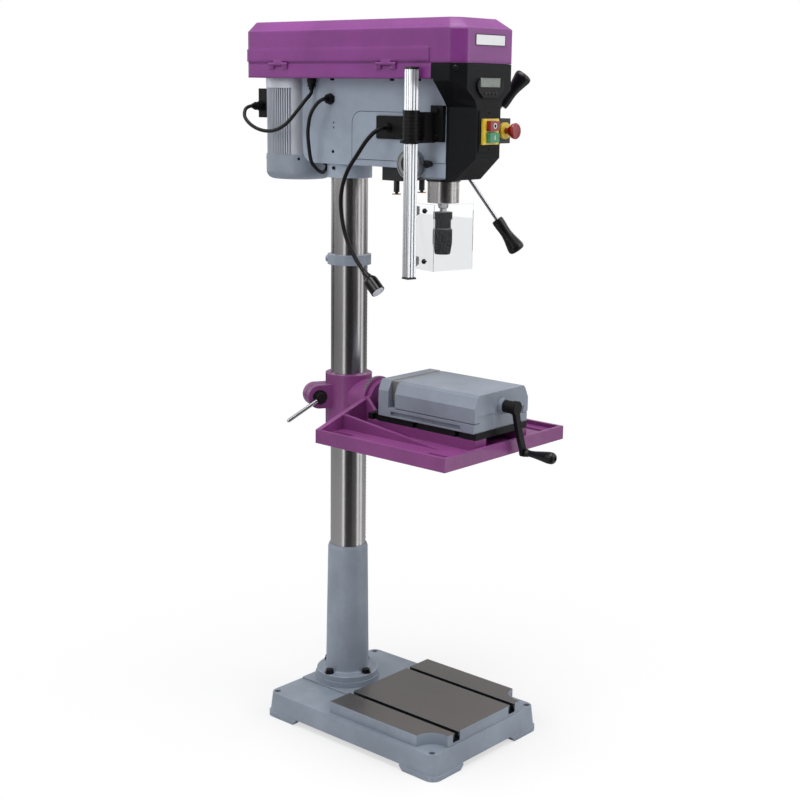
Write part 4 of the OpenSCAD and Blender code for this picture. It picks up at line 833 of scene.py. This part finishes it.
# %% [markdown]
# The stage is a pale floor and an even white surround, as in a product photograph. Near the machine
# the floor is a real diffuse surface, so it keeps a soft shadow; further out the camera sees it as
# plain white and it meets the surround without a line.

# %% Floor
HALF_FLOOR, NEAR_WHITE = 12, 0.62
build = bmesh.new()
corners = ((-1, -1), (1, -1), (1, 1), (-1, 1))
build.faces.new([build.verts.new((HALF_FLOOR * x, HALF_FLOOR * y, 0)) for x, y in corners])
floor = bpy.data.objects.new("floor", as_mesh("floor", build))
floor.location = (0, 0, -0.0005)
bpy.context.scene.collection.objects.link(floor)
floor_finish = Finish("floor", Roughness=0.9)
# Where reflections see it, the floor is painted a darker grey, a painted reflection.
mirrored = floor_finish.node("ShaderNodeLightPath", output="Is Glossy Ray")
floor_finish.wear(Base_Color=floor_finish.mix(srgb(238, 238, 239), srgb(170, 170, 172), mirrored))
tree = floor_finish.material.node_tree
_, x, y, _ = floor_finish.place()
away = (x * x + y * y).root()
seen = floor_finish.node("ShaderNodeLightPath", output="Is Camera Ray")
seen = seen.either(floor_finish.node("ShaderNodeLightPath", output="Is Transmission Ray"))
white = floor_finish.node("ShaderNodeEmission", {}, {"Color": (1, 1, 1, 1), "Strength": 1.0})
blend = floor_finish.node("ShaderNodeMixShader", {}, {
    0: seen * (NEAR_WHITE + (1 - NEAR_WHITE) * away.ramp(0.35, 1.3)),
    1: Field(floor_finish, floor_finish.shader.outputs[0]),
    2: white,
})
tree.links.new(blend.socket, tree.nodes["Material Output"].inputs["Surface"])
floor.data.materials.append(floor_finish.material)
print("floor", tuple(floor.dimensions))

# %% [markdown]
# A studio lights polished metal with large white surfaces, and gives it its streaks with black cards
# and narrow bright strips. All of them are seen by reflections only, so they draw lines down the
# column without standing in any view or casting a shadow.

# %% Cards and strips
black_card = Finish("black_card", Roughness=1.0, Base_Color=(0.012, 0.012, 0.013, 1))
grey_card = Finish("grey_card", Roughness=1.0, Base_Color=(0.09, 0.09, 0.092, 1))
bright_strip = Finish(
    "bright_strip", Base_Color=(0, 0, 0, 1), Emission_Color=(1, 1, 1, 1), Emission_Strength=1.7
)


def staged(name, build, finish):
    """A stage piece that only reflections see."""
    mesh = as_mesh(name, build)
    mesh.materials.append(finish.material)
    piece = bpy.data.objects.new(name, mesh)
    bpy.context.scene.collection.objects.link(piece)
    piece.visible_camera = piece.visible_diffuse = False
    piece.visible_shadow = piece.visible_transmission = False
    return piece


COLUMN_Y, CARD_RADIUS, CARD_STEPS = 0.1925, 4.6, 12


def sector(start, end):
    return [math.radians(start + (end - start) * k / CARD_STEPS) for k in range(CARD_STEPS + 1)]


def upright(name, finish, start, end):
    """A tall curved sheet round the column; the angles are in degrees from +X."""
    build = bmesh.new()
    columns = []
    for a in sector(start, end):
        x, y = CARD_RADIUS * math.cos(a), COLUMN_Y + CARD_RADIUS * math.sin(a)
        columns.append((build.verts.new((x, y, -0.2)), build.verts.new((x, y, 3.4))))
    for left, right in zip(columns, columns[1:]):
        build.faces.new((left[0], right[0], right[1], left[1]))
    return staged(name, build, finish)


def lying(name, finish, start, end):
    """The same sector on the floor, which the lower half of the column mirrors."""
    build = bmesh.new()
    rings = [
        [build.verts.new((r * math.cos(a), COLUMN_Y + r * math.sin(a), 0.002))
         for a in sector(start, end)]
        for r in (0.75, CARD_RADIUS)
    ]
    for k in range(CARD_STEPS):
        build.faces.new((rings[0][k], rings[1][k], rings[1][k + 1], rings[0][k + 1]))
    return staged(name, build, finish)


towards_camera = math.degrees(math.atan2(CAMERA_AT[1] - COLUMN_Y, CAMERA_AT[0]))
for name, finish, start, end in [
    ("front_card", black_card, -23, 25), ("side_card", grey_card, 25, 56),
    ("left_strip", bright_strip, -36, -27), ("right_strip", bright_strip, 61, 70),
    ("edge_strip", bright_strip, 86, 96),
]:
    upright(name, finish, towards_camera + start, towards_camera + end)
    lying(f"{name}_floor", finish, towards_camera + start, towards_camera + end)
upright("back_card", black_card, towards_camera - 130, towards_camera - 112)
upright("right_card", black_card, towards_camera + 110, towards_camera + 124)
print("the camera lies at", round(towards_camera), "degrees from the column")

# %% [markdown]
# Light is plain and soft. The surround gives most of it, and large soft lamps shape the forms:
# from the left, the front and overhead, with two weaker ones that fill the right side and the back.
# Neither of those stands across from the camera, where it would glare off every level face.

# %% Light
world = bpy.data.worlds.new("surround")
bpy.context.scene.world = world
world.use_nodes = True
nodes, links = world.node_tree.nodes, world.node_tree.links
path = nodes.new("ShaderNodeLightPath")
AMBIENT, REFLECTED = 0.34, 0.6


def world_math(operation, first, second):
    made = nodes.new("ShaderNodeMath")
    made.operation = operation
    for socket, value in zip(made.inputs, (first, second)):
        if isinstance(value, float):
            socket.default_value = value
        else:
            links.new(value, socket)
    return made.outputs[0]


straight = world_math("MAXIMUM", path.outputs["Is Camera Ray"], path.outputs["Is Transmission Ray"])
strength = world_math("MULTIPLY", straight, 1 - AMBIENT)
mirrored = world_math("MULTIPLY", path.outputs["Is Glossy Ray"], REFLECTED - AMBIENT)
strength = world_math("ADD", world_math("ADD", strength, mirrored), AMBIENT)
links.new(strength, nodes["Background"].inputs["Strength"])
nodes["Background"].inputs["Color"].default_value = (1, 1, 1, 1)


def soft_lamp(name, at, target, size, power):
    lamp = bpy.data.objects.new(name, bpy.data.lights.new(name, "AREA"))
    lamp.data.shape, lamp.data.size, lamp.data.energy = "SQUARE", size, power
    lamp.location = at
    lamp.rotation_euler = (Vector(target) - Vector(at)).to_track_quat("-Z", "Y").to_euler()
    bpy.context.scene.collection.objects.link(lamp)


soft_lamp("left_lamp", (-3.3, 0.5, 3.1), (0, 0, 1.5), 1.9, 39)
soft_lamp("front_lamp", (1.0, -2.9, 2.8), (0, 0, 1.6), 1.7, 34)
soft_lamp("top_lamp", (-0.4, -0.4, 4.2), (0, 0, 1.0), 2.4, 114)
soft_lamp("right_lamp", (3.5, -0.5, 2.2), (0, 0, 1.2), 1.8, 24)
soft_lamp("back_lamp", (-0.9, 3.8, 2.2), (0, 0, 1.2), 1.8, 24)
